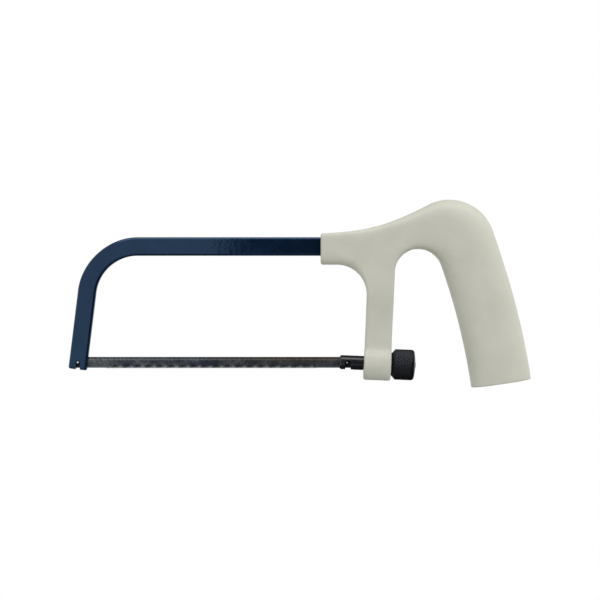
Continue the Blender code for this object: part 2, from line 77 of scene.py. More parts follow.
# The saw's own directions, and the tensioner's: rearwards along the tilted spindle, across the saw, and up from
# the spindle. A pin lies across the saw.
RIGHT, ACROSS, UP = np.eye(3)
ALONG = np.array(NUT_JOINT["axis"], float)
ABOVE = np.cross(ALONG, ACROSS)
TILT = math.atan2(-ALONG[2], ALONG[0])
SAW_DIRECTIONS = (RIGHT, ACROSS, UP)
PIN_DIRECTIONS = (ACROSS, RIGHT, UP)
SPINDLE_DIRECTIONS = (ALONG, ACROSS, ABOVE)


def linear(code):
    """Linear red, green and blue of an sRGB hex colour."""
    channels = np.array([int(code[i:i + 2], 16) for i in (1, 3, 5)]) / 255
    low = channels / 12.92
    high = ((channels + 0.055) / 1.055) ** 2.4
    return tuple(float(value) for value in np.where(channels <= 0.04045, low, high))


def length(name, description, default):
    """Property for a size in metres."""
    return FloatProperty(name=name, description=description, default=default, min=0.0, unit="LENGTH", precision=5)


def angle(name, description, degrees):
    """Property for an angle, given in degrees."""
    return FloatProperty(name=name, description=description, default=math.radians(degrees), subtype="ANGLE")


def number(name, description, default):
    """Property for a plain number."""
    return FloatProperty(name=name, description=description, default=default)


def colour(name, description, code):
    """Property for a colour, given as an sRGB hex code."""
    return FloatVectorProperty(name=name, description=description, default=(*linear(code), 1.0), size=4, min=0.0,
                               max=1.0, subtype="COLOR")


class HACKSAW_PG_bar(bpy.types.PropertyGroup):
    """Sizes and colours of the bent bar."""
    height: length("Height", "Bar's section in the saw's plane", 0.010)
    thickness: length("Thickness", "Bar's section across the saw", 0.006)
    edge: length("Edge radius", "Rounding along the bar's edges", 0.0015)
    foot_edge: length("Foot edge radius", "Rounding round the foot", 0.0010)
    rise: length("Rise", "Bar's middle above the blade pins", 0.0624)
    bend: length("Bend radius", "Bend at the bar's middle", 0.0274)
    thinning: number("Thinning", "Share of the section lost round the outside of the bend", 0.03)
    lean: angle("Lean", "Front leg's lean, foot forwards", 7.0)
    below_pin: length("Foot below the pin", "Leg below the front pin", 0.0038)
    pin_forward: length("Pin ahead", "Front pin ahead of the leg's middle", 0.0003)
    tang: length("Tang", "Bar inside the handle", 0.030)
    tang_scale: number("Tang scale", "Bare tang's section against the enamelled bar's", 0.96)
    enamel: colour("Enamel", "Dark blue stoved enamel", "#0a182a")
    enamel_thin: colour("Thin enamel", "Enamel where it has drawn thin", "#10223a")
    sheen: colour("Sheen", "Tint of the enamel's gloss", "#99c8fe")


class HACKSAW_PG_handle(bpy.types.PropertyGroup):
    """Sizes and colours of the handle moulding."""
    neck_reach: length("Neck reach", "Neck's front face ahead of the rear pin", 0.0143)
    neck_height: length("Neck height", "Neck's section in the saw's plane", 0.0169)
    neck_thickness: length("Neck thickness", "Neck's section across the saw", 0.0135)
    neck_drop: length("Neck drop", "Neck's middle below the bar's", 0.00135)
    neck_slope: angle("Neck slope", "Rise of the neck's top edge", 2.5)
    neck_top_power: number("Neck top power", "Squareness of the neck's upper half, 2 is an ellipse", 7.0)
    neck_under_power: number("Neck under power", "Squareness of the neck's lower half", 3.0)
    neck_edge: length("Neck edge radius", "Rounding of the neck's mouth", 0.0012)
    shoulder_slope: angle("Shoulder slope", "Slope where the neck turns into the hump", 27.4)
    hump_radius: length("Hump radius", "Curve over the hump", 0.02485)
    hump_rise: length("Hump rise", "Hump's top above the bar's middle", 0.02525)
    hump_setback: length("Hump setback", "Hump's centre behind the finger arch's", 0.0166)
    arch_radius: length("Arch radius", "Finger arch", 0.0129)
    arch_drop: length("Arch drop", "Finger arch's top below the bar's middle", 0.0013)
    grip_length: length("Grip length", "Front edge from the arch to the butt", 0.0677)
    grip_width: length("Grip width", "Grip at the butt, in the saw's plane", 0.0324)
    grip_thickness: length("Grip thickness", "Grip across the saw", 0.024)
    grip_tilt: angle("Grip tilt", "Grip's edges from upright, below the arch", 19.5)
    butt_tilt: angle("Butt tilt", "Grip's edges from upright, at the butt", 8.4)
    grip_power: number("Grip power", "Squareness of the grip's section", 2.5)
    arch_power: number("Arch power", "Squareness of the section's lower half at the finger arch's top", 6.0)
    section_run: length("Section run", "Length over which the neck's section turns into the grip's", 0.080)
    butt_edge: length("Butt edge radius", "Rounding of the butt's rim", 0.0005)
    butt_bow: length("Butt bow", "Bulge of the butt's face", 0.0003)
    post_setback: length("Post setback", "Post's front face behind the rear pin", 0.0091)
    post_width: length("Post width", "Post in the saw's plane", 0.0144)
    post_thickness: length("Post thickness", "Post across the saw", 0.010)
    post_edge: length("Post edge radius", "Rounding of the post's edges", 0.0015)
    arch_edge: length("Arch edge radius", "Rounding of the finger arch's edges at its top", 0.0040)
    throat_edge: length("Throat edge radius", "Rounding where the neck turns down into the post", 0.0048)
    throat_radius: length("Throat radius", "Corner between the neck and the post", 0.0160)
    boss_diameter: length("Boss diameter", "Boss round the spindle", 0.018)
    boss_proud: length("Boss proud", "Boss past the post's faces", 0.00012)
    boss_edge: length("Boss edge radius", "Rounding of the boss's ends", 0.0011)
    grain: length("Mesh size", "Side of the moulding's mesh quads", 0.00049)
    plastic: colour("Plastic", "Warm light grey plastic", "#bfbfb2")
    plastic_cloud: colour("Cloudy plastic", "Slightly darker clouds in the plastic", "#b9baac")


class HACKSAW_PG_blade(bpy.types.PropertyGroup):
    """Sizes and colours of the blade and its pins."""
    height: length("Height", "Blade's height without its teeth", 0.0059)
    tooth_reach: length("Tooth reach", "Teeth below the plain ends", 0.0004)
    thickness: length("Thickness", "Blade's thickness", 0.00065)
    overhang: length("Overhang", "Blade past each pin", 0.0025)
    plain_end: length("Plain end", "Blade without teeth, inwards from each pin", 0.016)
    pitch: length("Tooth pitch", "Distance from tooth to tooth", 0.0008)
    depth: length("Tooth depth", "Depth of the gullets", 0.0005)
    face_run: length("Tooth face run", "Steep face of a tooth, along the blade", 0.00015)
    wave: length("Set wave", "One wave of the tooth line", 0.006075)
    wave_start: length("Set start", "Start of the waves behind the first tooth", 0.0023)
    sway: length("Set sway", "Tooth tips to either side", 0.00025)
    band: length("Set band", "Height of blade that the set bends", 0.0024)
    pin_diameter: length("Pin diameter", "Pressed pin", 0.0019)
    pin_length: length("Pin length", "Pressed pin across the saw", 0.006)
    pin_ground: length("Ground end", "Bright ground end of a pin, across", 0.0008)
    steel: colour("Steel", "Dark hardened steel", "#585e61")
    steel_blue: colour("Blued steel", "Heat-blued patches and teeth", "#293143")
    steel_brown: colour("Brown steel", "Straw and brown temper along the back", "#463d39")
    # Rubbed back edge and paler teeth, and also painted highlight where the set sways out.
    steel_rubbed_and_highlight: colour("Bright steel", "Rubbed edges and painted highlight on the set", "#9a9ea2")
    steel_straw: colour("Straw steel", "Rubbed back edge towards the rear", "#968873")
    # Painted shade: fills the set's hollows and the ends in their slots; also the dark line along the back edge.
    steel_shade_dark: colour("Shade-dark steel", "Painted shade in the set's hollows and slots, and a dark line along the back", "#16181c")
    pin_bright: colour("Pin end", "Ground end of a pin", "#c9ced1")
    pin_dark: colour("Pin side", "Side of a pin", "#17181b")


class HACKSAW_PG_tensioner(bpy.types.PropertyGroup):
    """Sizes and colours of the spindle and the thumb nut."""
    spindle_diameter: length("Spindle diameter", "Forked spindle", 0.0077)
    nose: length("Nose", "Spindle ahead of the rear pin", 0.0042)
    nose_chamfer: length("Nose chamfer", "Chamfer of the spindle's nose", 0.0008)
    flat: length("Flat", "Depth of the flat that stops the spindle turning", 0.0007)
    flare: length("Notch flare", "Widening of the pin notch at its mouth", 0.0001)
    slack: length("Slack", "Room behind the pin that lets the blade off", 0.0008)
    thread_diameter: length("Thread diameter", "Spindle's thread", 0.005)
    thread_pitch: length("Thread pitch", "Distance from thread to thread", 0.0008)
    runout: length("Thread runout", "Thread inside the boss", 0.003)
    nut_diameter: length("Nut diameter", "Knurled band", 0.0165)
    nut_length: length("Nut length", "Nut along the spindle", 0.0125)
    nut_seat: length("Nut seat", "Nut's face ahead of the place it turns about", 0.0005)
    face_diameter: length("Nut face diameter", "Small end of the nut's cone", 0.0118)
    cone: length("Nut cone", "Length of the nut's cone", 0.0021)
    nut_edge: length("Nut edge radius", "Rounding of the nut's outer end", 0.0018)
    end_wall: length("Nut end wall", "Wall behind the blind bore", 0.002)
    dome: length("Dome height", "Rise of the nut's outer end towards its middle", 0.0006)
    pip_diameter: length("Pip diameter", "Turning pip on the nut's end", 0.004)
    pip_height: length("Pip height", "Turning pip on the nut's end", 0.00025)
    knurls: IntProperty(name="Knurls", description="Knurl grooves of each hand round the nut", default=36)
    knurl_depth: length("Knurl depth", "Depth of the knurl's grooves", 0.00027)
    oxide: colour("Black oxide", "Oil-blackened steel", "#1d1e23")
    oxide_worn: colour("Worn oxide", "Crests rubbed by hands", "#4a4c54")


class HACKSAW_PG_stage(bpy.types.PropertyGroup):
    """Camera, light and floor."""
    distance: length("Camera distance", "Camera from the saw's plane", 1.6)
    view_width: length("View width", "Width of the saw's plane that the picture takes in", 0.3234)
    view_x: length("View middle along", "Picture's middle ahead of the rear pin", 0.0254)
    view_z: length("View middle up", "Picture's middle above the pins", 0.0336)
    floor_drop: length("Floor drop", "Floor below the pins", 0.20)
    daylight: number("Daylight", "Even light from all round", 1.0)
    softbox: number("Softbox", "Power of the large lamp above, in watts", 0.6)
    strip: number("Strip light", "Power of the narrow lamp above that draws a line along rounds, in watts", 1.6)
    paper: colour("Paper", "White paper floor", "#f4f4f3")


class HACKSAW_PG_settings(bpy.types.PropertyGroup):
    """Everything that can be set on the saw."""
    bar: PointerProperty(type=HACKSAW_PG_bar)
    handle: PointerProperty(type=HACKSAW_PG_handle)
    blade: PointerProperty(type=HACKSAW_PG_blade)
    tensioner: PointerProperty(type=HACKSAW_PG_tensioner)
    stage: PointerProperty(type=HACKSAW_PG_stage)


SEAT_GAP = 0.0003       # between pieces that seat on each other
PIN_GAP = 0.00015       # round a blade pin
AXIS = 0.00002          # radius at which a turned shape closes round its axis


def polar(radius, turn):
    """Points at a radius and turn in the saw's plane, the turn counted from +x towards +z."""
    return np.stack([radius * np.cos(turn), radius * np.sin(turn)], axis=-1)


def arc(centre, radius, start, end, steps=48):
    """Points on a circle: the centre plus the radius at turns spaced evenly from start to end."""
    return np.asarray(centre) + polar(radius, np.linspace(start, end, steps + 1))


def bezier(start, start_handle, end_handle, end, steps=64):
    """Cubic curve: the four points weighted by s^3, 3 s^2 t, 3 s t^2 and t^3, where s is 1 - t."""
    t = np.linspace(0.0, 1.0, steps + 1)[:, None]
    s = 1 - t
    return s ** 3 * start + 3 * s * s * t * start_handle + 3 * s * t * t * end_handle + t ** 3 * end


def run_along(chain):
    """Distance along a chain of points, at each of them."""
    steps = np.linalg.norm(np.diff(chain, axis=0), axis=1)
    return np.concatenate([[0.0], np.cumsum(steps)])


def resample(chain, count):
    """Points spaced evenly along a chain of points."""
    run = run_along(chain)
    places = np.linspace(0.0, run[-1], count)
    return np.stack([np.interp(places, run, chain[:, axis]) for axis in range(chain.shape[1])], axis=-1)


def ease(share):
    """Smooth step: 3 t^2 - 2 t^3, with t held between 0 and 1."""
    t = np.clip(share, 0.0, 1.0)
    return t * t * (3 - 2 * t)


def between(start, end, share):
    """Value at a share of the way from a start to an end."""
    return start + (end - start) * share


def turns(sides):
    """Evenly spaced turns round a whole circle."""
    return np.linspace(0.0, 2 * math.pi, sides, endpoint=False)


def in_space(flat, y):
    """Points of the saw's plane as points in space, y across the saw."""
    return np.stack([flat[..., 0], y, flat[..., 1]], axis=-1)


def tension_point(along, above):
    """Point of the saw's plane at a distance along the spindle and above it."""
    return along * ALONG[::2] + above * ABOVE[::2]


def rounded_rectangle(half_width, half_height, radius, steps=8):
    """Closed outline: a quarter circle at each corner of a rectangle, anticlockwise from the right. A point
    a little past each end of a quarter keeps the flats flat where the shading is smooth."""
    past = 0.0001
    quarter = np.concatenate([[0.0], np.linspace(0.0, math.pi / 2, steps + 1), [math.pi / 2]])
    slide = np.concatenate([[-past], np.zeros(steps + 1), [past]])
    turns = (np.arange(4)[:, None] * math.pi / 2 + quarter).ravel()
    corners = np.array([(1, 1), (-1, 1), (-1, -1), (1, -1)]).repeat(steps + 3, axis=0)
    rounds = polar(radius, turns) + np.tile(slide, 4)[:, None] * polar(1.0, turns + math.pi / 2)
    return corners * (half_width - radius, half_height - radius) + rounds


def shell(grid):
    """Faces of a closed shell through rings of points: quads between neighbouring rings and a cap across each
    end ring. The signed volume, the sum of a . (b x c) over the triangles, tells whether they look inwards,
    and then they are turned. grid has one row for each ring and one column for each point round it."""
    rings, sides, _ = grid.shape
    row, column = np.meshgrid(np.arange(rings - 1), np.arange(sides), indexing="ij")
    following = (column + 1) % sides
    quads = np.stack([row * sides + column, row * sides + following,
                      (row + 1) * sides + following, (row + 1) * sides + column], axis=-1).reshape(-1, 4)
    caps = np.stack([np.arange(sides)[::-1], np.arange(sides) + (rings - 1) * sides])
    firsts = np.repeat(caps[:, :1], sides - 2, axis=1)
    fans = np.stack([firsts, caps[:, 1:-1], caps[:, 2:]], axis=-1).reshape(-1, 3)
    a, b, c = grid.reshape(-1, 3)[np.vstack([quads[:, :3], quads[:, [0, 2, 3]], fans])].swapaxes(0, 1)
    order = -1 if np.einsum("ij,ij->", a, np.cross(b, c)) < 0.0 else 1
    return quads[:, ::order], caps[:, ::order]


def add_object(name, data):
    """Object that shows a mesh, a lamp or a camera."""
    added = bpy.data.objects.new(name, data)
    bpy.context.scene.collection.objects.link(added)
    return added


def add_mesh(name, points, faces):
    """Object that shows a new mesh of points and faces."""
    mesh = bpy.data.meshes.new(name)
    mesh.from_pydata(np.asarray(points).tolist(), [], faces)
    mesh.update()
    return add_object(name, mesh)


def skin(name, *grids, sharp=40.0):
    """Piece made of one or more closed shells, each given as rings of points."""
    points, faces = np.empty((0, 3)), []
    for grid in grids:
        for part in shell(grid):
            faces += (part + len(points)).tolist()
        points = np.vstack([points, grid.reshape(-1, 3) + PIN])
    piece = add_mesh(name, points, faces)
    shade(piece, sharp)
    return piece


def shade(piece, sharp):
    """Smooth shading that stays crisp at edges sharper than an angle in degrees."""
    piece.data.shade_smooth()
    piece.data.set_sharp_from_angle(angle=math.radians(sharp))


def settle_mesh(piece):
    """Puts what the modifiers make of a piece into its mesh."""
    rough = piece.data
    graph = bpy.context.evaluated_depsgraph_get()
    piece.data = bpy.data.meshes.new_from_object(piece.evaluated_get(graph))
    piece.modifiers.clear()
    piece.data.name = piece.name
    bpy.data.meshes.remove(rough)


def carve(piece, shapes, sharp):
    """Cuts closed shapes, each given as rings of points, out of a piece."""
    tools = [skin("tool", shape) for shape in shapes]
    for tool in tools:
        modifier = piece.modifiers.new(tool.name, "BOOLEAN")
        modifier.operation = "DIFFERENCE"
        modifier.solver = "EXACT"
        modifier.object = tool
    settle_mesh(piece)
    for tool in tools:
        bpy.data.meshes.remove(tool.data)
    shade(piece, sharp)


def rectangle(left, bottom, right, top):
    """Outline of a rectangle between its sides."""
    return np.array([(left, bottom), (right, bottom), (right, top), (left, top)])


def prism(outline, thickness, directions=SAW_DIRECTIONS):
    """Rings of a plate across the saw: an outline of the saw's plane at two levels, half the thickness to
    each side. With the tensioner's directions the outline is measured along the spindle and above it."""
    right, across, up = directions
    flat = outline[:, :1] * right + outline[:, 1:] * up
    return flat + (np.array((-0.5, 0.5)) * thickness)[:, None, None] * across


def turned(places, radii, directions, sides, origin=0.0):
    """Rings of a turned shape: ring i stands at places[i] along the axis, and its points are the radius times
    cos(turn) to one side plus sin(turn) to the other, at evenly spaced turns. A radius may also vary
    round its ring, so radii is one value for each ring or one for each point."""
    along, side, up = directions
    turn = turns(sides)
    spokes = np.cos(turn)[:, None] * side + np.sin(turn)[:, None] * up
    radii = np.broadcast_to(np.asarray(radii).reshape(len(places), -1), (len(places), sides))
    return origin + places[:, None, None] * along + radii[..., None] * spokes


def soften(corners, radius, steps=6):
    """Chain of (place, radius) corners with each inner corner cut by a curve of three points: the corner
    and the two points that lie a radius, or less on short sides, before and after it."""
    pull = 0.55         # draws the curve nearly to a circle
    room = 0.45         # share of a short side that a corner may take
    parts = [corners[:1]]
    for before, corner, after in zip(corners[:-2], corners[1:-1], corners[2:]):
        spans = [np.linalg.norm(before - corner), np.linalg.norm(after - corner)]
        reach = min(radius, room * min(spans))
        enter = corner + (before - corner) / spans[0] * reach
        leave = corner + (after - corner) / spans[1] * reach
        parts.append(bezier(enter, enter + pull * (corner - enter), leave + pull * (corner - leave), leave, steps))
    parts.append(corners[-1:])
    return np.vstack(parts)


def bar_line(bar, handle):
    """Middle line of the bar from the tang's end to the foot: straight along the top, a circle round the
    bend, straight down the leg. Also gives each point's scale of the section. Round the bend the section
    loses a share that grows as sin^2 from the bend's ends, all of it from the outside."""
    up_leg = np.array((math.sin(bar.lean), math.cos(bar.lean)))
    into_saw = np.array((math.cos(bar.lean), -math.sin(bar.lean)))
    level = np.array((bar.pin_forward - PIN_SPACING, 0.0))
    climb = (bar.rise - bar.bend + bar.bend * math.sin(bar.lean)) / math.cos(bar.lean)
    centre = level + up_leg * climb + into_saw * bar.bend
    neck = -handle.neck_reach
    tang = np.array([(bar.tang + neck, bar.rise), (neck, bar.rise), (neck - SEAT_GAP, bar.rise),
                     (neck - 2 * SEAT_GAP, bar.rise)])
    turn = np.linspace(math.pi / 2, math.pi - bar.lean, 73)
    thinned = bar.thinning * np.sin(np.linspace(0.0, math.pi, len(turn))) ** 2
    bend = centre + polar(bar.bend - thinned * bar.height / 2, turn)
    foot = level - up_leg * bar.below_pin
    line = np.vstack([tang, bend, foot])
    scale = np.concatenate([np.full(2, bar.tang_scale), np.ones(len(tang) - 2), 1 - thinned, [1.0]])
    return line, scale


def bar_rings(bar, line, scale, grow=0.0):
    """Section carried along a line: each ring is the line's point plus the section's height across the
    line, in the saw's plane, and its thickness across the saw."""
    section = rounded_rectangle(bar.height / 2 + grow, bar.thickness / 2 + grow, bar.edge + grow)
    heading = np.gradient(line, axis=0)
    heading /= np.linalg.norm(heading, axis=1, keepdims=True)
    upward = np.stack([-heading[:, 1], heading[:, 0]], axis=-1)
    sized = scale[:, None, None] * section
    flat = line[:, None] + sized[..., :1] * upward[:, None]
    return in_space(flat, sized[..., 1]), heading


def round_off(ring, outwards, radius, steps=6):
    """Rings that carry an end section round a quarter circle: at turn t they move out by radius sin(t)
    and draw in towards the middle by radius (1 - cos(t))."""
    turn = np.linspace(0.0, math.pi / 2, steps + 1)[1:, None, None]
    spokes = ring - ring.mean(axis=0)
    spokes = spokes / np.linalg.norm(spokes, axis=1, keepdims=True)
    return ring - spokes * radius * (1 - np.cos(turn)) + outwards * radius * np.sin(turn)


def pin_notch(blade, at, slack, depth, flare=0.0, mouth=0.0, steps=24):
    """Outline of a notch over a pin, open downwards: a half circle over the pin, drawn out by the slack,
    straight sides, and a flare at the mouth."""
    radius = blade.pin_diameter / 2 + PIN_GAP
    x, z = at
    roof = np.vstack([arc((x + slack, z), radius, 0.0, math.pi / 2, steps),
                      arc((x, z), radius, math.pi / 2, math.pi, steps)[0 if slack else 1:]])
    sides = [(x - radius, z - mouth), (x - radius - flare, z - mouth - flare), (x - radius - flare, z - depth),
             (x + slack + radius + flare, z - depth), (x + slack + radius + flare, z - mouth - flare),
             (x + slack + radius, z - mouth)]
    outline = np.vstack([roof, sides])
    apart = np.linalg.norm(outline - np.roll(outline, 1, axis=0), axis=1) > 1e-7
    return outline[apart]


def make_bar(bar, handle, blade):
    """Bent bar: a rounded section carried along its line, with the slot for the blade and the notch for
    its pin cut into the foot."""
    line, scale = bar_line(bar, handle)
    rings, heading = bar_rings(bar, line, scale)
    down = in_space(heading[-1], 0.0)
    rings[-1] -= down * bar.foot_edge
    foot = round_off(rings[-1], down, bar.foot_edge)
    piece = skin("enamelled_bar", np.vstack([rings, foot]), sharp=20.0)

    reach = bar.height + bar.below_pin
    slot_top = blade.height / 2 + SEAT_GAP
    x = -PIN_SPACING
    slot = rectangle(x - reach, slot_top - reach, x + reach, slot_top)
    notch = pin_notch(blade, (x, 0.0), 0.0, reach)
    carve(piece, [prism(slot, blade.thickness + 2 * SEAT_GAP), prism(notch, 2 * bar.thickness)], 20.0)
    return piece


PARTING = 109           # edge point of the handle at the finger arch's top


def handle_edges(handle, bar):
    """Inner and outer edges of the neck, hump and grip as matching points, and the finger arch's centre.

    The inner edge runs level under the neck, rises in a long double curve to the arch's top, follows the
    arch's circle and goes down the grip, whose tilt changes evenly. The outer edge rises in a curve from
    the neck's top to the hump's circle, and goes down the grip's back in a curve to the butt."""
    tip = -handle.neck_reach + handle.neck_edge
    middle = bar.rise - handle.neck_drop
    under = middle - handle.neck_height / 2
    arch_z = bar.rise - handle.arch_drop - handle.arch_radius
    post_rear = handle.post_setback + handle.post_width
    arch_x = tension_point(post_rear, arch_z)[0] + handle.arch_radius / math.cos(TILT)
    arch = np.array((arch_x, arch_z))
    arch_top = arch + (0.0, handle.arch_radius)
    throat = np.array((tension_point(handle.post_setback, under)[0], under))
    level = np.array(((arch_top[0] - throat[0]) / 2, 0.0))
    neck_under = np.vstack([[(tip, under)], bezier(throat, throat + level, arch_top - level, arch_top)])
    finger = arc(arch, handle.arch_radius, math.pi / 2, handle.grip_tilt)
    steps = 64
    tilts = handle.grip_tilt + (handle.butt_tilt - handle.grip_tilt) * (np.arange(steps) + 0.5) / steps
    strides = polar(handle.grip_length / steps, tilts - math.pi / 2)
    grip_front = np.vstack([finger[-1], finger[-1] + np.cumsum(strides, axis=0)])

    hump = np.array((arch_x + handle.hump_setback, bar.rise + handle.hump_rise - handle.hump_radius))
    over_hump = arc(hump, handle.hump_radius, math.pi / 2 + handle.shoulder_slope, handle.grip_tilt, 96)
    start = np.array((tip, middle + handle.neck_height / 2))
    shoulder = over_hump[0]
    first, last = math.tan(handle.neck_slope), math.tan(handle.shoulder_slope)
    x = (shoulder[1] - start[1] + first * start[0] - last * shoulder[0]) / (first - last)
    meeting = np.array((x, start[1] + first * (x - start[0])))
    fullness = 0.8      # of the curve, which is drawn towards where its end slopes meet
    rise = bezier(start, start + fullness * (meeting - start),
                  shoulder + fullness * (meeting - shoulder), shoulder)
    back = np.vstack([rise, over_hump[1:]])
    butt = grip_front[-1] + polar(handle.grip_width, handle.butt_tilt)
    stretch = np.linalg.norm(butt - back[-1]) / 3
    grip_rear = bezier(back[-1], back[-1] + polar(stretch, handle.grip_tilt - math.pi / 2),
                       butt - polar(stretch, handle.butt_tilt - math.pi / 2), butt)

    parting = int(np.argmin(np.linalg.norm(back - arch_top, axis=1)))
    counts = (PARTING + 1, 90, 80)
    inner = [resample(run, n) for run, n in zip((neck_under, finger, grip_front), counts)]
    outer = [resample(run, n) for run, n in zip((back[:parting + 1], back[parting:], grip_rear), counts)]
    inner = np.vstack([inner[0], inner[1][1:], inner[2][1:]])
    outer = np.vstack([outer[0], outer[1][1:], outer[2][1:]])
    return inner, outer, arch


def flank(handle, run):
    """Thickness of the neck and grip at a distance along them: it turns from the neck's into the grip's."""
    return between(handle.neck_thickness, handle.grip_thickness, ease(run / handle.section_run))


def handle_loft(handle, inner, outer, sides=144):
    """Rings of the neck, hump and grip. Each spans an inner and an outer edge point, and is a superellipse
    |u|^n + |v|^n = 1 whose power n and thickness turn from the neck's into the grip's along the way."""
    middle = (inner + outer) / 2
    blend = ease(run_along(middle) / handle.section_run)[:, None]
    half = flank(handle, run_along(middle))[:, None] / 2
    top = between(handle.neck_top_power, handle.grip_power, blend)
    under = between(handle.neck_under_power, handle.grip_power, blend)
    run = run_along(inner)
    crisp_reach = 0.022     # to each side of the finger arch's top, where the lower half is squarer
    crisp = ease(1 - np.abs(run - run[PARTING]) / crisp_reach)[:, None]
    under = between(under, handle.arch_power, crisp)
    turn = turns(sides)
    power = np.where(np.sin(turn) > 0.0, top, under)
    up = np.sign(np.sin(turn)) * np.abs(np.sin(turn)) ** (2 / power)
    side = np.sign(np.cos(turn)) * np.abs(np.cos(turn)) ** (2 / power)
    flat = middle[:, None] + up[..., None] * (outer - middle)[:, None]
    rings = in_space(flat, side * half)
    down = in_space(polar(1.0, handle.butt_tilt - math.pi / 2), 0.0)
    rings[-1] += handle.butt_bow * (1 - up[-1, :, None] ** 2) * down
    neck = round_off(rings[0], -RIGHT, handle.neck_edge)
    butt = round_off(rings[-1], down, handle.butt_edge)
    return np.vstack([neck[::-1], rings, butt])


def chord_rings(front, heading, span, front_edge, rear_edge, half):
    """Rings across chords of the saw's plane, each from a front point along its heading over its span. A ring
    is a rectangle whose corners have one radius at the chord's front and another at its rear. half gives the
    half thickness at points of the plane."""
    steps = 9
    quarter = np.linspace(0.0, math.pi / 2, steps)
    turn = (np.arange(4)[:, None] * math.pi / 2 + quarter).ravel()
    at_front = np.repeat((False, True, True, False), steps)
    side = np.repeat((1.0, 1.0, -1.0, -1.0), steps)
    radius = np.where(at_front, front_edge, rear_edge)
    deep = np.where(at_front, radius, span - radius) + radius * np.cos(turn)
    flat = front[:, None] + deep[..., None] * heading[:, None]
    return in_space(flat, side * (half(flat) - radius) + radius * np.sin(turn))


def post_lofts(handle, bar, arch):
    """Rings of the post, and of the web that lines the finger arch where the post runs into the neck.

    Each of the post's spans a chord from its front edge: straight back while the edge is straight, then, as
    the edge turns forwards round the throat's circle, along that circle's radius. A chord ends at the post's
    rear edge or short of the arch's circle, or inside the neck where it passes above the arch. The web's rings
    span chords outwards from the arch's circle, and sink into the neck past the arch's top."""
    under = bar.rise - handle.neck_drop - handle.neck_height / 2
    along = handle.post_setback - handle.throat_radius
    above = (under - handle.throat_radius + along * math.sin(TILT)) / math.cos(TILT)
    throat = tension_point(along, above)
    thickens_from, thickens_over = -0.020, 0.028        # counted up the post from the throat's foot
    skin_share = 0.985                                  # keeps the post just under the neck's skin
    slant = 1.04                                        # run along the neck for each step rearwards

    def half(flat):
        """Half thickness, which grows from the post's nearly to the neck's on the way up and round the throat."""
        apart = flat - throat
        turn = np.arctan2(apart[..., 1], apart[..., 0]) + TILT
        run = np.where(turn > 0.0, handle.throat_radius * turn, apart @ ABOVE[::2])
        neck = skin_share * flank(handle, slant * (flat[..., 0] + handle.neck_reach - handle.neck_edge))
        grown = ease((run - thickens_from) / thickens_over)
        return between(handle.post_thickness, neck, grown) / 2

    heights = np.linspace(0.0, above, 40, endpoint=False)
    fan_end = math.radians(86)                          # just before the fan would run level under the neck
    fan = np.linspace(-TILT, fan_end, 60)
    heading = polar(1.0, np.concatenate([np.full(len(heights), -TILT), fan]))
    straight = np.stack([tension_point(handle.post_setback, height) for height in heights])
    front = np.vstack([straight, throat + polar(handle.throat_radius, fan)])
    rear = tension_point(handle.post_setback + handle.post_width, 0.0)
    back = ALONG[::2]
    span = (rear - front) @ back / (heading @ back)
    towards = np.einsum("ij,ij->i", front - arch, heading)
    over = (front + span[:, None] * heading)[:, 1] - arch[1]
    clear = 0.001                                       # gap to the arch, which the web fills
    clear_from, clear_over = 0.002, 0.004               # counted up from the arch's centre
    short_of = handle.arch_radius + clear * ease((over - clear_from) / clear_over)
    reach = towards ** 2 - np.sum((front - arch) ** 2, axis=1) + short_of ** 2
    meets_arch = (reach > 0.0) & (over > 0.0)
    span = np.where(meets_arch, -towards - np.sqrt(np.maximum(reach, 0.0)), span)
    rising = heading[:, 1] > 0.3
    past_arch, least = 0.004, 0.010                     # a chord above the arch ends past its centre
    span = np.where((reach <= 0.0) & rising, np.maximum(past_arch - towards, least), span)[:, None]
    round_from, round_over = 0.004, 0.016               # counted round the throat from its foot
    rounder = ease((run_along(front) - above - round_from) / round_over)
    front_edge = between(handle.post_edge, handle.throat_edge, rounder)
    post = chord_rings(front, heading, span, front_edge[:, None], handle.post_edge, half)

    web_end, sinks_from, sinks_over, rounds_over = np.radians((70, 125, 50, 90))
    web_depth, sinks_by, thins_by = 0.009, 0.0008, 0.0010
    turn = np.linspace(math.pi - TILT, web_end, 60)
    edge = between(handle.post_edge, handle.arch_edge, ease((turn[0] - turn) / rounds_over))
    sunk = ease((sinks_from - turn) / sinks_over)
    lining = arch + polar(handle.arch_radius + sinks_by * sunk ** 2, turn)
    web = chord_rings(lining, polar(1.0, turn), np.full((len(turn), 1), web_depth), edge[:, None],
                      handle.post_edge, lambda flat: half(flat) - thins_by * sunk[:, None])
    return post, web


def read_mesh(items, name, width, kind=float):
    """Values that a mesh's points or edges have, one row for each of them."""
    values = np.empty(len(items) * width, kind)
    items.foreach_get(name, values)
    return values.reshape(-1, width)


def move_points(mesh, points):
    """Moves a mesh's points to new places."""
    mesh.vertices.foreach_set("co", points.ravel())
    mesh.update()


def paint(piece, name, values):
    """Gives each point of a piece a value, which its material reads by name."""
    piece.data.attributes.new(name, "FLOAT", "POINT").data.foreach_set("value", values.ravel())


def neighbour_mean(points, edges):
    """Mean of the points that share an edge with each point."""
    ends = np.concatenate([edges[:, 0], edges[:, 1]])
    others = np.concatenate([edges[:, 1], edges[:, 0]])
    shared = np.maximum(np.bincount(ends, minlength=len(points)), 1)
    sums = [np.bincount(ends, points[others, axis], len(points)) for axis in range(3)]
    return np.stack(sums, axis=-1) / shared[:, None]


def even_out(points, edges, rounds=6):
    """Each round moves every point half way to its neighbours' mean and almost as far back, which evens
    out small steps and keeps the shape's size."""
    for step in np.tile((0.5, -0.49), rounds):
        points = points + step * (neighbour_mean(points, edges) - points)
    return points


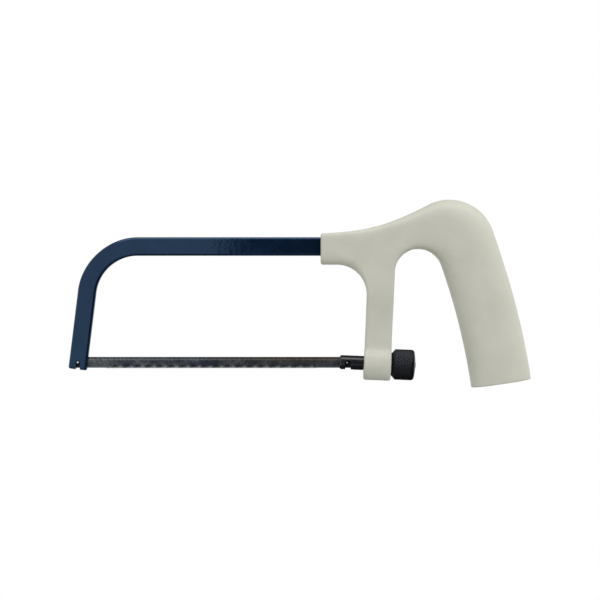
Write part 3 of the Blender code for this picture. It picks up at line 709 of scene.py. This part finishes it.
def fillet_corners(points, normals, edges, grain, merge, rounds=40, reach=8):
    """Rounds inner corners. A point's hollow is how far its neighbours' mean lies outwards of it along its
    normal, in mesh sizes. Where that is large, the point and those within some edges' reach of it, with
    a weight that falls to nothing, move to their neighbours' mean again and again. So do the points round
    the place of the saw's plane where the post merges into the neck at the finger arch."""
    least_hollow = 0.06
    merge_weight, merge_reach = 1.6, 0.007
    stride = 0.6            # share of the way to the neighbours' mean that a point goes in one round
    hollow = np.einsum("ij,ij->i", neighbour_mean(points, edges) - points, normals) / grain
    weight = (hollow > least_hollow).astype(float)
    for _ in range(reach):
        wider = weight.copy()
        np.maximum.at(wider, edges[:, 0], weight[edges[:, 1]] - 1 / reach)
        np.maximum.at(wider, edges[:, 1], weight[edges[:, 0]] - 1 / reach)
        weight = wider
    apart = np.linalg.norm((points - PIN)[:, ::2] - merge, axis=1)
    weight = np.maximum(weight, merge_weight - apart / merge_reach)
    weight = (stride * ease(weight))[:, None]
    for _ in range(rounds):
        points = points + weight * (neighbour_mean(points, edges) - points)
    return points


def make_handle(handle, bar, tensioner):
    """Handle moulding: loft, post and boss joined into one even mesh, its inner corners filleted by
    relaxing them, and the pocket for the tang and the bore for the spindle cut into it."""
    inner, outer, arch = handle_edges(handle, bar)
    start = handle.post_setback - handle.boss_proud
    end = handle.post_setback + handle.post_width + handle.boss_proud
    radius = handle.boss_diameter / 2
    hub = 0.0002            # its ends close here, inside what the bore takes out
    profile = soften(np.array([(start, hub), (start, radius), (end, radius), (end, hub)]), handle.boss_edge)
    boss = turned(profile[:, 0], profile[:, 1], SPINDLE_DIRECTIONS, 128)
    piece = skin("moulded_handle", handle_loft(handle, inner, outer), *post_lofts(handle, bar, arch), boss)
    remesh = piece.modifiers.new("even mesh", "REMESH")
    remesh.mode = "VOXEL"
    remesh.voxel_size = handle.grain
    settle_mesh(piece)

    mesh = piece.data
    edges = read_mesh(mesh.edges, "vertices", 2, np.int32)
    points = even_out(read_mesh(mesh.vertices, "co", 3), edges)
    move_points(mesh, points)
    normals = read_mesh(mesh.vertex_normals, "vector", 3)
    merge_turn = math.radians(118)          # where the post's edge leaves the arch, round the arch's circle
    merge = arch + polar(handle.arch_radius, merge_turn)
    move_points(mesh, fillet_corners(points, normals, edges, handle.grain, merge))

    neck = -handle.neck_reach
    line = np.array([(neck - handle.neck_edge, bar.rise), (neck + bar.tang + SEAT_GAP, bar.rise)])
    pocket, _ = bar_rings(bar, line, np.full(2, bar.tang_scale), SEAT_GAP)
    bore_radius = tensioner.spindle_diameter / 2 + SEAT_GAP
    sides, past = 96, 0.002
    bore = np.minimum(bore_radius, (bore_radius - tensioner.flat) / np.maximum(-np.sin(turns(sides)), 1e-6))
    places = np.array((start - past, end + past))
    carve(piece, [pocket, turned(places, np.vstack([bore, bore]), SPINDLE_DIRECTIONS, sides)], 50.0)
    return piece


def make_blade(blade):
    """Blade strip. Its outline is carried along the blade: front face down from the back edge to the tooth
    line, then rear face up again. Tooth line: from each tip a sloping back up to the gullet, then a steep
    face down to the next tip. Set: the lowest band of the strip sways by a sine wave along the blade,
    growing towards the tips. The attribute "hollow" is 1 where a face sways deepest in, -1 where it sways
    furthest out, and 2 where the blade sits in its slots; from it the material paints shade into the hollows
    and the slots, and highlight where the set sways out."""
    half = blade.thickness / 2
    top, bottom = blade.height / 2, -blade.height / 2
    teeth = int((PIN_SPACING - 2 * blade.plain_end) / blade.pitch)
    first = -PIN_SPACING / 2 - teeth * blade.pitch / 2
    last = first + teeth * blade.pitch
    slope_end = 1 - blade.face_run / blade.pitch
    down_face = 0.4         # share of a tooth's face left below its own row of points
    within = np.append(np.linspace(0.0, slope_end, 6), 1 - down_face * blade.face_run / blade.pitch)
    along_teeth = (first + blade.pitch * (np.arange(teeth)[:, None] + within)).ravel()
    plain = 24              # rows of points along each plain end
    x = np.concatenate([np.linspace(-PIN_SPACING - blade.overhang, first, plain, endpoint=False), along_teeth,
                        np.linspace(last, blade.overhang, plain)])
    phase = np.mod((x - first) / blade.pitch + 1e-6, 1.0)
    back_bow = 0.8          # power that bows a tooth's back outwards
    back = np.clip(phase / slope_end, 0.0, 1.0) ** back_bow
    face = np.clip((1 - phase) / (1 - slope_end), 0.0, 1.0)
    toothed = (x >= first) & (x < last - 1e-9)
    cut = (blade.depth * np.minimum(back, face) - blade.tooth_reach) * toothed
    fade_run = 0.003        # over which the set fades out at each end
    fade = ease((x - first) / fade_run) * ease((last - x) / fade_run)
    sway = blade.sway * np.sin(2 * math.pi * (x - first - blade.wave_start) / blade.wave) * fade

    chamfer = 0.00012       # along the back edge
    band_top = bottom + blade.band
    share = np.linspace(0.0, 1.0, 9)
    body = np.linspace(top - chamfer, band_top, 6)[:-1]
    level = np.concatenate([np.tile(np.append(top, body), (len(x), 1)),
                            between(band_top, bottom + cut[:, None], share)], axis=1)
    bend_power = 1.3        # how the sway grows towards the tips
    bend = np.concatenate([np.zeros(len(body) + 1), share ** bend_power]) * sway[:, None]
    wall = np.full(level.shape[1], half)
    wall[0] -= chamfer
    y = np.concatenate([bend - wall, (bend + wall)[:, ::-1]], axis=1)
    z = np.concatenate([level, level[:, ::-1]], axis=1)
    piece = skin("toothed_blade", np.stack([np.broadcast_to(x[:, None], y.shape), y, z], axis=-1), sharp=30.0)
    seat, seat_blur = 0.004, 0.001                      # inwards from each pin
    # 2 where the blade sits in its slots, where the material paints shade.
    seated = 2 * ease((np.abs(x + PIN_SPACING / 2) - PIN_SPACING / 2 + seat) / seat_blur)[:, None]
    paint(piece, "hollow", np.concatenate([bend, -bend[:, ::-1]], axis=1) / blade.sway + seated)
    return piece


def make_pin(name, blade, x):
    """Pressed pin: a turned rod whose ends are ground to a bright flat inside a broken edge."""
    radius = blade.pin_diameter / 2
    end = blade.pin_length / 2
    ground = blade.pin_ground / 2
    chamfer = radius - ground
    steep = 0.6             # the broken edge's length along the pin against its width
    half = np.array([(end, AXIS), (end, 0.6 * ground), (end, ground), (end - steep * chamfer, radius),
                     (end - chamfer, radius), (end / 2, radius)])
    profile = np.vstack([half, half[::-1] * (-1.0, 1.0)])
    place = np.array((x, 0.0, 0.0))
    return skin(name, turned(profile[:, 0], profile[:, 1], PIN_DIRECTIONS, 64, place), sharp=25.0)


def thread_radii(places, start, core, crest, pitch, sides):
    """Radius of a screw thread at each place and turn: the depth rises and falls once for each pitch, and
    the wave moves on by one pitch for each turn. It grows from nothing over the first turn."""
    turn = np.linspace(0.0, 1.0, sides, endpoint=False)
    phase = np.mod((places[:, None] - start) / pitch - turn, 1.0)
    top, slope = 1.25, 3.0      # the wave's peak, cut flat at 1, and its fall over half a pitch
    wave = np.clip(top - np.abs(phase - 0.5) * slope, 0.0, 1.0)
    grown = ease((places - start) / pitch)[:, None]
    return crest - (crest - core) * (1 - wave) * grown


def make_spindle(tensioner, blade, handle):
    """Spindle: a turned rod with a chamfered nose and a threaded tail, forked for the blade, notched for
    its pin, and flatted where it passes through the boss."""
    radius = tensioner.spindle_diameter / 2
    crest = tensioner.thread_diameter / 2
    thread_depth = 0.54 * tensioner.thread_pitch
    core = crest - thread_depth
    shoulder = handle.post_setback + handle.post_width - tensioner.runout
    tip = NUT_FACE + tensioner.nut_length - tensioner.end_wall - 2 * SEAT_GAP
    chamfer = tensioner.nose_chamfer
    nose = -tensioner.nose
    corners = np.array([(nose, AXIS), (nose, radius - chamfer), (nose + chamfer, radius),
                        (shoulder - radius + crest, radius), (shoulder, crest)])
    broken = 0.00025            # rounding of the turned edges
    body = soften(corners, broken)
    sides = 96
    spacing = 0.00008           # from ring to ring
    point, blunt = 0.0006, 0.0003       # the thread's pointed end: its length, and how far it draws in
    places = np.arange(shoulder + spacing, tip - point, spacing)
    thread = thread_radii(places, shoulder, core, crest, tensioner.thread_pitch, sides)
    tail = np.array([(tip, core - blunt), (tip, AXIS)])
    radii = np.vstack([np.repeat(body[:, 1:], sides, axis=1), thread, np.repeat(tail[:, 1:], sides, axis=1)])
    places = np.concatenate([body[:, 0], places, tail[:, 0]])
    spindle = skin("forked_spindle", turned(places, radii, SPINDLE_DIRECTIONS, sides), sharp=32.0)

    slot_rear = blade.overhang + tensioner.slack + SEAT_GAP
    slot = rectangle(nose - radius, -2 * radius, slot_rear, 2 * radius)
    notch = pin_notch(blade, (0.0, 0.0), tensioner.slack, 2 * radius, tensioner.flare, radius - tensioner.flare)
    flat_start = handle.post_setback - handle.boss_proud - SEAT_GAP
    flat = rectangle(flat_start, -2 * radius, shoulder, tensioner.flat - radius)
    carve(spindle, [prism(slot, blade.thickness + 2 * SEAT_GAP, SPINDLE_DIRECTIONS), prism(notch, 4 * radius),
                    prism(flat, 4 * radius, SPINDLE_DIRECTIONS)], 32.0)
    return spindle


def make_nut(tensioner):
    """Thumb nut: a turned shape with a coned face, a knurled band, a domed end with its pip, and a blind
    bore. Knurl: two families of V grooves cross the band, where turns times the count plus or minus the
    place over a diamond's length comes to a whole number, and the deeper groove counts."""
    radius = tensioner.nut_diameter / 2
    face = tensioner.face_diameter / 2
    bore = tensioner.thread_diameter / 2 + SEAT_GAP
    bore_end = tensioner.nut_length - tensioner.end_wall
    crown = tensioner.nut_length - tensioner.nut_edge
    pip = tensioner.pip_diameter / 2
    flat = radius - tensioner.nut_edge
    sides = 16 * tensioner.knurls
    lead = 0.0005               # chamfer at the bore's mouth
    broken, pip_edge, edge_steps = 0.0002, 0.0004, 4    # roundings of turned edges
    inside = soften(np.array([(bore_end, AXIS), (bore_end, bore), (lead, bore), (0.0, bore + lead),
                              (0.0, face), (tensioner.cone, radius)]), broken, edge_steps)
    band = np.stack([np.linspace(tensioner.cone, crown, 90), np.full(90, radius)], axis=-1)
    rim = arc((crown, flat), tensioner.nut_edge, math.pi / 2, 0.0, 15)
    share = np.linspace(1.0, pip / flat, 12)
    dome = np.stack([tensioner.nut_length + tensioner.dome * (1 - share ** 2), flat * share], axis=-1)
    pip_top = dome[-1, 0] + tensioner.pip_height
    end = soften(np.array([dome[-1], (pip_top, 0.6 * pip), (pip_top, AXIS)]), pip_edge, edge_steps)
    profile = np.vstack([inside, band[1:], rim[1:], dome[1:], end[1:]])
    turn = np.linspace(0.0, 1.0, sides, endpoint=False)
    stretch = 1.15              # a diamond's length along the nut against its width
    groove_half = 0.34          # half a groove's width against the distance from groove to groove
    diamond = 2 * math.pi * radius / tensioner.knurls * stretch
    along = profile[:, :1] / diamond
    grooves = [np.mod(turn * tensioner.knurls + hand * along, 1.0) for hand in (1.0, -1.0)]
    depth = np.max([np.clip(1 - np.abs(groove - 0.5) / groove_half, 0.0, 1.0) for groove in grooves], axis=0)
    outer = np.arange(len(profile)) >= len(inside) - 1
    fade_in, fade_out = 0.6 * tensioner.cone, crown + 0.7 * tensioner.nut_edge      # on the cone and the rim
    taper = ease((profile[:, 0] - fade_in) / fade_in) * ease((fade_out - profile[:, 0]) / tensioner.nut_edge)
    knurled = (outer * taper * (profile[:, 1] > 0.9 * radius))[:, None]
    cut = tensioner.knurl_depth * depth * knurled
    rings = turned(NUT_FACE - tensioner.nut_seat + profile[:, 0], profile[:, 1:] - cut, SPINDLE_DIRECTIONS, sides)
    nut = skin("knurled_nut", rings, sharp=60.0)
    paint(nut, "worn", (1 - depth) * knurled)
    return nut


def node(tree, kind, sockets=(), **settings):
    """Adds a shader node. The settings are its own. The sockets are values for its inputs, by name or in the order
    of the inputs in use. A value may be the output that feeds the input, or a node, whose first output in use
    then feeds it."""
    added = tree.nodes.new("ShaderNode" + kind)
    for name, value in settings.items():
        setattr(added, name, value)
    if not isinstance(sockets, dict):
        in_use = [index for index, socket in enumerate(added.inputs) if socket.enabled]
        sockets = dict(zip(in_use, sockets))
    for key, value in sockets.items():
        if isinstance(value, bpy.types.Node):
            value = next(output for output in value.outputs if output.enabled)
        if isinstance(value, bpy.types.NodeSocket):
            tree.links.new(value, added.inputs[key])
        else:
            added.inputs[key].default_value = value
    return added


def empty_tree(owner):
    """Clears the nodes of a material or a world, and gives the function that adds nodes there."""
    owner.use_nodes = True
    owner.node_tree.nodes.clear()
    return functools.partial(node, owner.node_tree)


def material(name, recipe, *settings):
    """Material whose shader a recipe makes from the place that a point has on its piece, and from settings."""
    made = bpy.data.materials.new(name)
    add = empty_tree(made)
    add("OutputMaterial", [recipe(add, add("TexCoord").outputs["Object"], *settings)])
    return made


def stoved_enamel(add, place, bar):
    """Stoved enamel on steel, sprayed and baked: a deep blue film with a hard gloss whose orange-peel ripple
    breaks up what it mirrors, and slow clouds where the film runs thinner."""
    cloud = add("TexNoise", (place, 1 / 0.007, 3.0))
    thin = add("MapRange", (cloud, 0.42, 0.75, 0.0, 0.6))
    tone = add("Mix", (thin, bar.enamel, bar.enamel_thin), data_type="RGBA")
    peel = add("TexNoise", (place, 1 / 0.0022, 2.0))
    ripple = add("Bump", {"Height": peel, "Distance": 0.00003})
    gloss = add("MapRange", (cloud, 0.3, 0.7, 0.07, 0.11))
    return add("BsdfPrincipled", {"Base Color": tone, "Roughness": gloss, "Normal": ripple,
                                  "Specular Tint": bar.sheen, "IOR": 1.62})


def moulded_plastic(add, place, handle):
    """Moulded polypropylene with a fine spark-eroded texture: warm light grey, satin, with faint clouds and
    flow marks in the colour and a fine grain that softens the highlights."""
    cloud = add("TexNoise", (place, 1 / 0.016, 4.0, 0.6))
    mottle = add("MapRange", (cloud, 0.35, 0.65))
    tone = add("Mix", (mottle, handle.plastic, handle.plastic_cloud), data_type="RGBA")
    grain = add("TexNoise", (place, 1 / 0.0005, 2.0))
    sink = add("TexNoise", (place, 1 / 0.010, 1.0))
    fine = add("Bump", {"Height": grain, "Distance": 0.000012})
    waves = add("Bump", {"Height": sink, "Distance": 0.00012, "Normal": fine})
    satin = add("MapRange", (cloud, 0.3, 0.7, 0.50, 0.60))
    return add("BsdfPrincipled", {"Base Color": tone, "Roughness": satin, "Normal": waves, "IOR": 1.49})


def hardened_steel(add, place, blade):
    """Hardened, tempered and oiled blade steel: dark grey and mottled, blued in patches by the heat and browned
    towards the rear, less so at its ends, with a rubbed paler back edge under a dark line along the top, painted
    shade in the hollows of the set and where the ends sit in their slots, painted highlight where the set sways
    out, and paler teeth. Places are counted from the rear pin."""
    x, _, z = add("SeparateXYZ", [place]).outputs
    pin_x, _, pin_z = PIN

    # Heat: blue patches from behind the front end, and brown that grows rearwards and fades at the rear end.
    patch_place = add("Mapping", {"Vector": place, "Scale": (1 / 0.009, 1 / 0.009, 1 / 0.004)})
    patch = add("TexNoise", (patch_place, 1.0, 3.0))
    blued = add("MapRange", (patch, 0.36, 0.62))
    heated = add("MapRange", (x, pin_x - 0.130, pin_x - 0.122, 0.15))
    bluing = add("Math", (blued, heated), operation="MULTIPLY")
    rear = add("MapRange", (x, pin_x - 0.080, pin_x - 0.030, 0.0, 0.9))
    warm = add("MapRange", (z, pin_z - 0.0012, pin_z + 0.0010, 0.2, 0.75))
    cooled = add("MapRange", (x, pin_x - 0.021, pin_x - 0.006, 1.0, 0.68))
    warmed = add("Math", (warm, cooled), operation="MULTIPLY")
    browned = add("Math", (rear, warmed), operation="MULTIPLY")

    # Back edge: a rubbed stripe, straw towards the rear, under a dark line along the very top.
    upper = add("MapRange", (z, pin_z + 0.0010, pin_z + 0.0014))
    crown = add("MapRange", (z, pin_z + 0.0017, pin_z + 0.0021, 0.0, 0.52))
    front = add("MapRange", (x, pin_x - 0.110, pin_x - 0.040, 0.34, 0.42))
    rubbed = add("Math", (upper, front), operation="MULTIPLY")
    worn = add("Mix", (rear, blade.steel_rubbed_and_highlight, blade.steel_straw), data_type="RGBA")
    tone = blade.steel
    for mask, layer in ((bluing, blade.steel_blue), (browned, blade.steel_brown), (rubbed, worn),
                        (crown, blade.steel_shade_dark)):
        tone = add("Mix", (mask, tone, layer), data_type="RGBA")

    # Mottling all over, darker towards the rear.
    mottle_place = add("Mapping", {"Vector": place, "Scale": (1 / 0.0009, 1 / 0.002, 1 / 0.0022)})
    mottle = add("TexNoise", (mottle_place, 1.0, 3.0, 0.6))
    depth = add("MapRange", (mottle, 0.3, 0.7, 0.42, 1.3))
    darker = add("MapRange", (x, pin_x - 0.110, pin_x - 0.050, 0.92, 0.69))
    dimmed = add("Math", (darker, cooled), operation="DIVIDE")
    level = add("Math", (depth, dimmed), operation="MULTIPLY")
    tone = add("VectorMath", (tone, level), operation="SCALE")

    # Set and teeth: painted highlight where the set sways out, painted shade in its hollows and slots, bright
    # tips.
    hollow = add("Attribute", attribute_name="hollow").outputs["Fac"]
    # Painted highlight where a face of the set sways out, painted shade where it sways in.
    proud = add("MapRange", (hollow, -0.18, -0.75, 0.0, 0.5))
    sunk = add("MapRange", (hollow, 0.02, 0.32, 0.0, 0.85))
    set_shade_fade = add("MapRange", (x, pin_x - 0.046, pin_x - 0.030, 1.0, 0.35))
    set_shade = add("Math", (sunk, set_shade_fade), operation="MULTIPLY")
    tips = add("MapRange", (z, pin_z - 0.0022, pin_z - 0.0029, 0.0, 0.55))
    # Painted shade on the blade's ends inside their slots.
    slot_shade = add("MapRange", (hollow, 1.2, 1.8, 0.0, 0.85))
    for mask, layer in ((proud, blade.steel_rubbed_and_highlight), (set_shade, blade.steel_shade_dark), (tips, blade.steel_rubbed_and_highlight),
                        (slot_shade, blade.steel_shade_dark)):
        tone = add("Mix", (mask, tone, layer), data_type="RGBA")

    dull = add("MapRange", (mottle, 0.3, 0.7, 0.52, 0.40))
    ripple = add("Bump", {"Height": mottle, "Distance": 0.00002})
    return add("BsdfPrincipled", {"Base Color": tone, "Roughness": dull, "Metallic": 0.6, "Normal": ripple})


def ground_pin_steel(add, place, blade):
    """Pressed steel pin: dark drawn sides, and ends ground bright with fine scratches."""
    _, across, _ = add("SeparateXYZ", [place]).outputs
    depth = add("Math", [across], operation="ABSOLUTE")
    end = blade.pin_length / 2
    ground = add("MapRange", (depth, end - 0.00012, end - 0.00004))
    tone = add("Mix", (ground, blade.pin_dark, blade.pin_bright), data_type="RGBA")
    grit = add("TexNoise", (place, 1 / 0.0003, 2.0))
    rough = add("MapRange", (grit, 0.0, 1.0, 0.30, 0.50))
    scratch = add("Bump", {"Height": grit, "Distance": 0.000008})
    return add("BsdfPrincipled", {"Base Color": tone, "Roughness": rough, "Metallic": 0.85, "Normal": scratch})


def black_oxide(add, place, tensioner, metallic, roughness, mask=None):
    """Turned steel, blackened and oiled: nearly black with a blue-grey gloss, turning marks too fine to see
    one by one, and a greyer tone on worn crests where the mask names them."""
    cloud = add("TexNoise", (place, 1 / 0.0022, 3.0))
    worn = add("MapRange", (cloud, 0.4, 0.8, 0.0, 0.05))
    if mask:
        crest = add("Attribute", attribute_name=mask).outputs["Fac"]
        high = add("MapRange", (crest, 0.80, 1.0))
        worn = add("Math", (high, worn), operation="ADD")
    tone = add("Mix", (worn, tensioner.oxide, tensioner.oxide_worn), data_type="RGBA")
    gloss = add("MapRange", (cloud, 0.3, 0.7, roughness, roughness + 0.06))
    grit = add("TexNoise", (place, 1 / 0.0004, 2.0))
    marks = add("Bump", {"Height": grit, "Distance": 0.00001})
    return add("BsdfPrincipled", {"Base Color": tone, "Roughness": gloss, "Metallic": metallic, "Normal": marks})


def white_paper(add, place, stage):
    """White paper: matt, with a faint tooth, and fading out to the white backdrop away from the saw."""
    tooth = add("TexNoise", (place, 1 / 0.002, 2.0))
    relief = add("Bump", {"Height": tooth, "Strength": 0.3, "Distance": 0.00005})
    matt = add("BsdfDiffuse", {"Color": stage.paper, "Normal": relief})
    level = add("VectorMath", (place, (1.0, 1.0, 0.0)), operation="MULTIPLY")
    reach = add("VectorMath", [level], operation="LENGTH")
    fade = add("MapRange", (reach, 0.18, 0.36), interpolation_type="SMOOTHSTEP")
    return add("MixShader", (fade, matt, add("BsdfTransparent")))


def black_velvet(add, place):
    """Velvet on a studio card: black all over, with a little nap."""
    nap = add("TexNoise", (place, 1 / 0.003))
    tone = add("MapRange", (nap, 0.0, 1.0, 0.002, 0.006))
    return add("BsdfDiffuse", {"Color": tone})


def flat_sheet(name, start, end, rise, finish):
    """Stage sheet between an edge, from a start to an end, and the same edge moved by a rise."""
    edge = np.array((start, end), float)
    sheet = add_mesh(name, np.vstack([edge, edge[::-1] + rise]), [(0, 1, 2, 3)])
    sheet.data.materials.append(finish)
    return sheet


def area_lamp(name, power, size):
    """Rectangular lamp that shines downwards."""
    lamp = bpy.data.lights.new(name, "AREA")
    lamp.shape = "RECTANGLE"
    lamp.size, lamp.size_y = size
    lamp.energy = power
    return add_object(name, lamp)


def studio_world(stage):
    """Soft daylight on the saw, fuller from above and from the right, and a white backdrop wherever the camera
    or a mirror looks past it."""
    world = bpy.data.worlds.new("white_studio")
    add = empty_tree(world)
    rays = add("LightPath").outputs
    seen = add("Math", (rays["Is Camera Ray"], rays["Is Glossy Ray"]), operation="MAXIMUM")
    shown = add("Math", (seen, rays["Is Transmission Ray"]), operation="MAXIMUM")
    heading = add("TexCoord").outputs["Generated"]
    fuller = (0.26, -0.03, 0.45)        # towards the right, the camera and the top
    lean = add("VectorMath", (heading, fuller), operation="DOT_PRODUCT")
    level = add("Math", (lean, stage.daylight, stage.daylight), operation="MULTIPLY_ADD")
    white = (1.0, 1.0, 1.0, 1.0)
    light = add("Background", (white, level))
    backdrop = add("Background", (white, 1.0))
    add("OutputWorld", [add("MixShader", (shown, light, backdrop))])
    return world


def finish_piece(piece, body, nodes, finish):
    """Gives a piece its material and its place in the frame."""
    piece.data.materials.clear()
    piece.data.materials.append(finish)
    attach(piece, body)
    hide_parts(*nodes)


class HACKSAW_OT_bar(bpy.types.Operator):
    """Bend the bar, slot its foot and enamel it"""
    bl_idname = "hacksaw.bend_bar"
    bl_label = "Bend the bar"

    def execute(self, context):
        saw = context.scene.hacksaw
        piece = make_bar(saw.bar, saw.handle, saw.blade)
        finish_piece(piece, "saw_frame", ["frame_bar"],
                     material("stoved_enamel_on_steel", stoved_enamel, saw.bar))
        return {"FINISHED"}


class HACKSAW_OT_handle(bpy.types.Operator):
    """Mould the handle with its post and boss"""
    bl_idname = "hacksaw.mould_handle"
    bl_label = "Mould the handle"

    def execute(self, context):
        saw = context.scene.hacksaw
        piece = make_handle(saw.handle, saw.bar, saw.tensioner)
        finish_piece(piece, "saw_frame", ["handle"],
                     material("moulded_polypropylene", moulded_plastic, saw.handle))
        return {"FINISHED"}


class HACKSAW_OT_blade(bpy.types.Operator):
    """Cut and set the blade's teeth and harden it"""
    bl_idname = "hacksaw.tooth_blade"
    bl_label = "Tooth the blade"

    def execute(self, context):
        saw = context.scene.hacksaw
        finish_piece(make_blade(saw.blade), "blade", ["blade"],
                     material("hardened_blade_steel", hardened_steel, saw.blade))
        return {"FINISHED"}


class HACKSAW_OT_pins(bpy.types.Operator):
    """Press the two pins into the blade"""
    bl_idname = "hacksaw.press_pins"
    bl_label = "Press the pins"

    def execute(self, context):
        saw = context.scene.hacksaw
        steel = material("ground_pin_steel", ground_pin_steel, saw.blade)
        for name, solid, x in (("front_pin", "blade_pin_front", -PIN_SPACING),
                               ("rear_pin", "blade_pin_rear", 0.0)):
            finish_piece(make_pin(name, saw.blade, x), "blade", [solid], steel)
        return {"FINISHED"}


class HACKSAW_OT_spindle(bpy.types.Operator):
    """Turn, fork and blacken the tension spindle"""
    bl_idname = "hacksaw.turn_spindle"
    bl_label = "Turn the spindle"

    def execute(self, context):
        saw = context.scene.hacksaw
        piece = make_spindle(saw.tensioner, saw.blade, saw.handle)
        finish_piece(piece, "spindle", ["tension_spindle"],
                     material("black_oxide_turned_steel", black_oxide, saw.tensioner, 0.2, 0.20))
        return {"FINISHED"}


class HACKSAW_OT_nut(bpy.types.Operator):
    """Turn, knurl and blacken the thumb nut"""
    bl_idname = "hacksaw.knurl_nut"
    bl_label = "Knurl the nut"

    def execute(self, context):
        saw = context.scene.hacksaw
        finish_piece(make_nut(saw.tensioner), "nut", ["thumb_nut"],
                     material("black_oxide_knurled_steel", black_oxide, saw.tensioner, 0.7, 0.36, "worn"))
        return {"FINISHED"}


class HACKSAW_OT_stage(bpy.types.Operator):
    """Set the camera, the light and the floor"""
    bl_idname = "hacksaw.set_stage"
    bl_label = "Set the stage"

    def execute(self, context):
        stage = context.scene.hacksaw.stage
        scene = context.scene
        scene.view_settings.view_transform = "Standard"
        scene.world = studio_world(stage)
        look_at = PIN + (-stage.view_x, 0.0, stage.view_z)

        lens = bpy.data.cameras.new("camera")
        lens.sensor_width = 36.0
        lens.lens = lens.sensor_width * stage.distance / stage.view_width
        camera = add_object("camera", lens)
        camera.location = look_at + (0.0, -stage.distance, 0.0)
        camera.rotation_euler = (math.pi / 2, 0.0, 0.0)
        scene.camera = camera

        lean, away = math.radians(31), 0.8      # to the right of upright, and from the picture's middle
        softbox = area_lamp("softbox", stage.softbox, (0.5, 0.5))
        softbox.location = look_at + away * np.array((math.sin(lean), -0.08, math.cos(lean)))
        softbox.rotation_euler = (math.radians(-5), lean, 0.0)
        strip = area_lamp("strip_light", stage.strip, (0.6, 0.22))
        strip.location = PIN + (0.0, -0.19, 0.42)
        strip.visible_diffuse = False

        floor_z = PIN[2] - stage.floor_drop
        floor = flat_sheet("floor", (-1, -1, floor_z), (1, -1, floor_z), (0, 2, 0),
                           material("white_paper", white_paper, stage))
        floor.visible_diffuse = False

        # Velvet cards all round keep the white of the room out of what the saw mirrors, apart from the left,
        # which is left open. Only mirror reflections show them.
        left, right = look_at[0] - 0.054, look_at[0] + 0.5
        wide = left - 0.3
        near, far = -0.6, 0.15
        low, high, base = -0.35, 0.36, floor_z + 0.01
        upright = (0, 0, high - low)
        velvet = material("black_velvet", black_velvet)
        for name, start, end, rise in (
                ("velvet_card", (left, near, low), (right, near, low), upright),
                ("velvet_wing", (right, near, low), (right, far, low), upright),
                ("velvet_top", (left, near, high), (right, near, high), (0, 0.44, 0.14)),
                ("velvet_rear", (wide, 0.02, high + 0.16), (right, 0.02, high + 0.16), (0, 0.58, -0.27)),
                ("velvet_base", (wide, -0.25, base), (right, -0.25, base), (0, 0.65, 0))):
            card = flat_sheet(name, start, end, rise, velvet)
            card.visible_camera = False
            card.visible_diffuse = False
            card.visible_shadow = False
        return {"FINISHED"}


class HACKSAW_PT_panel(bpy.types.Panel):
    """Lists the steps that make the saw, and its sizes"""
    bl_idname = "HACKSAW_PT_panel"
    bl_label = "Mini hacksaw"
    bl_space_type = "VIEW_3D"
    bl_region_type = "UI"
    bl_category = "Hacksaw"

    def draw(self, context):
        for step in STEPS:
            self.layout.operator(step.bl_idname)
        for group in HACKSAW_PG_settings.__annotations__:
            box = self.layout.box()
            box.label(text=group.capitalize())
            settings = getattr(context.scene.hacksaw, group)
            for name in settings.__annotations__:
                box.prop(settings, name)


GROUPS = (HACKSAW_PG_bar, HACKSAW_PG_handle, HACKSAW_PG_blade, HACKSAW_PG_tensioner, HACKSAW_PG_stage,
          HACKSAW_PG_settings)
STEPS = (HACKSAW_OT_stage, HACKSAW_OT_bar, HACKSAW_OT_handle, HACKSAW_OT_blade, HACKSAW_OT_pins,
         HACKSAW_OT_spindle, HACKSAW_OT_nut)
CLASSES = GROUPS + STEPS + (HACKSAW_PT_panel,)


def register():
    for entry in CLASSES:
        bpy.utils.register_class(entry)
    bpy.types.Scene.hacksaw = PointerProperty(type=HACKSAW_PG_settings)


def unregister():
    del bpy.types.Scene.hacksaw
    for entry in reversed(CLASSES):
        bpy.utils.unregister_class(entry)


def main():
    """Makes the saw on its stage."""
    register()
    bpy.ops.hacksaw.set_stage()
    bpy.ops.hacksaw.bend_bar()
    bpy.ops.hacksaw.mould_handle()
    bpy.ops.hacksaw.tooth_blade()
    bpy.ops.hacksaw.press_pins()
    bpy.ops.hacksaw.turn_spindle()
    bpy.ops.hacksaw.knurl_nut()


if __name__ == "__main__":
    main()
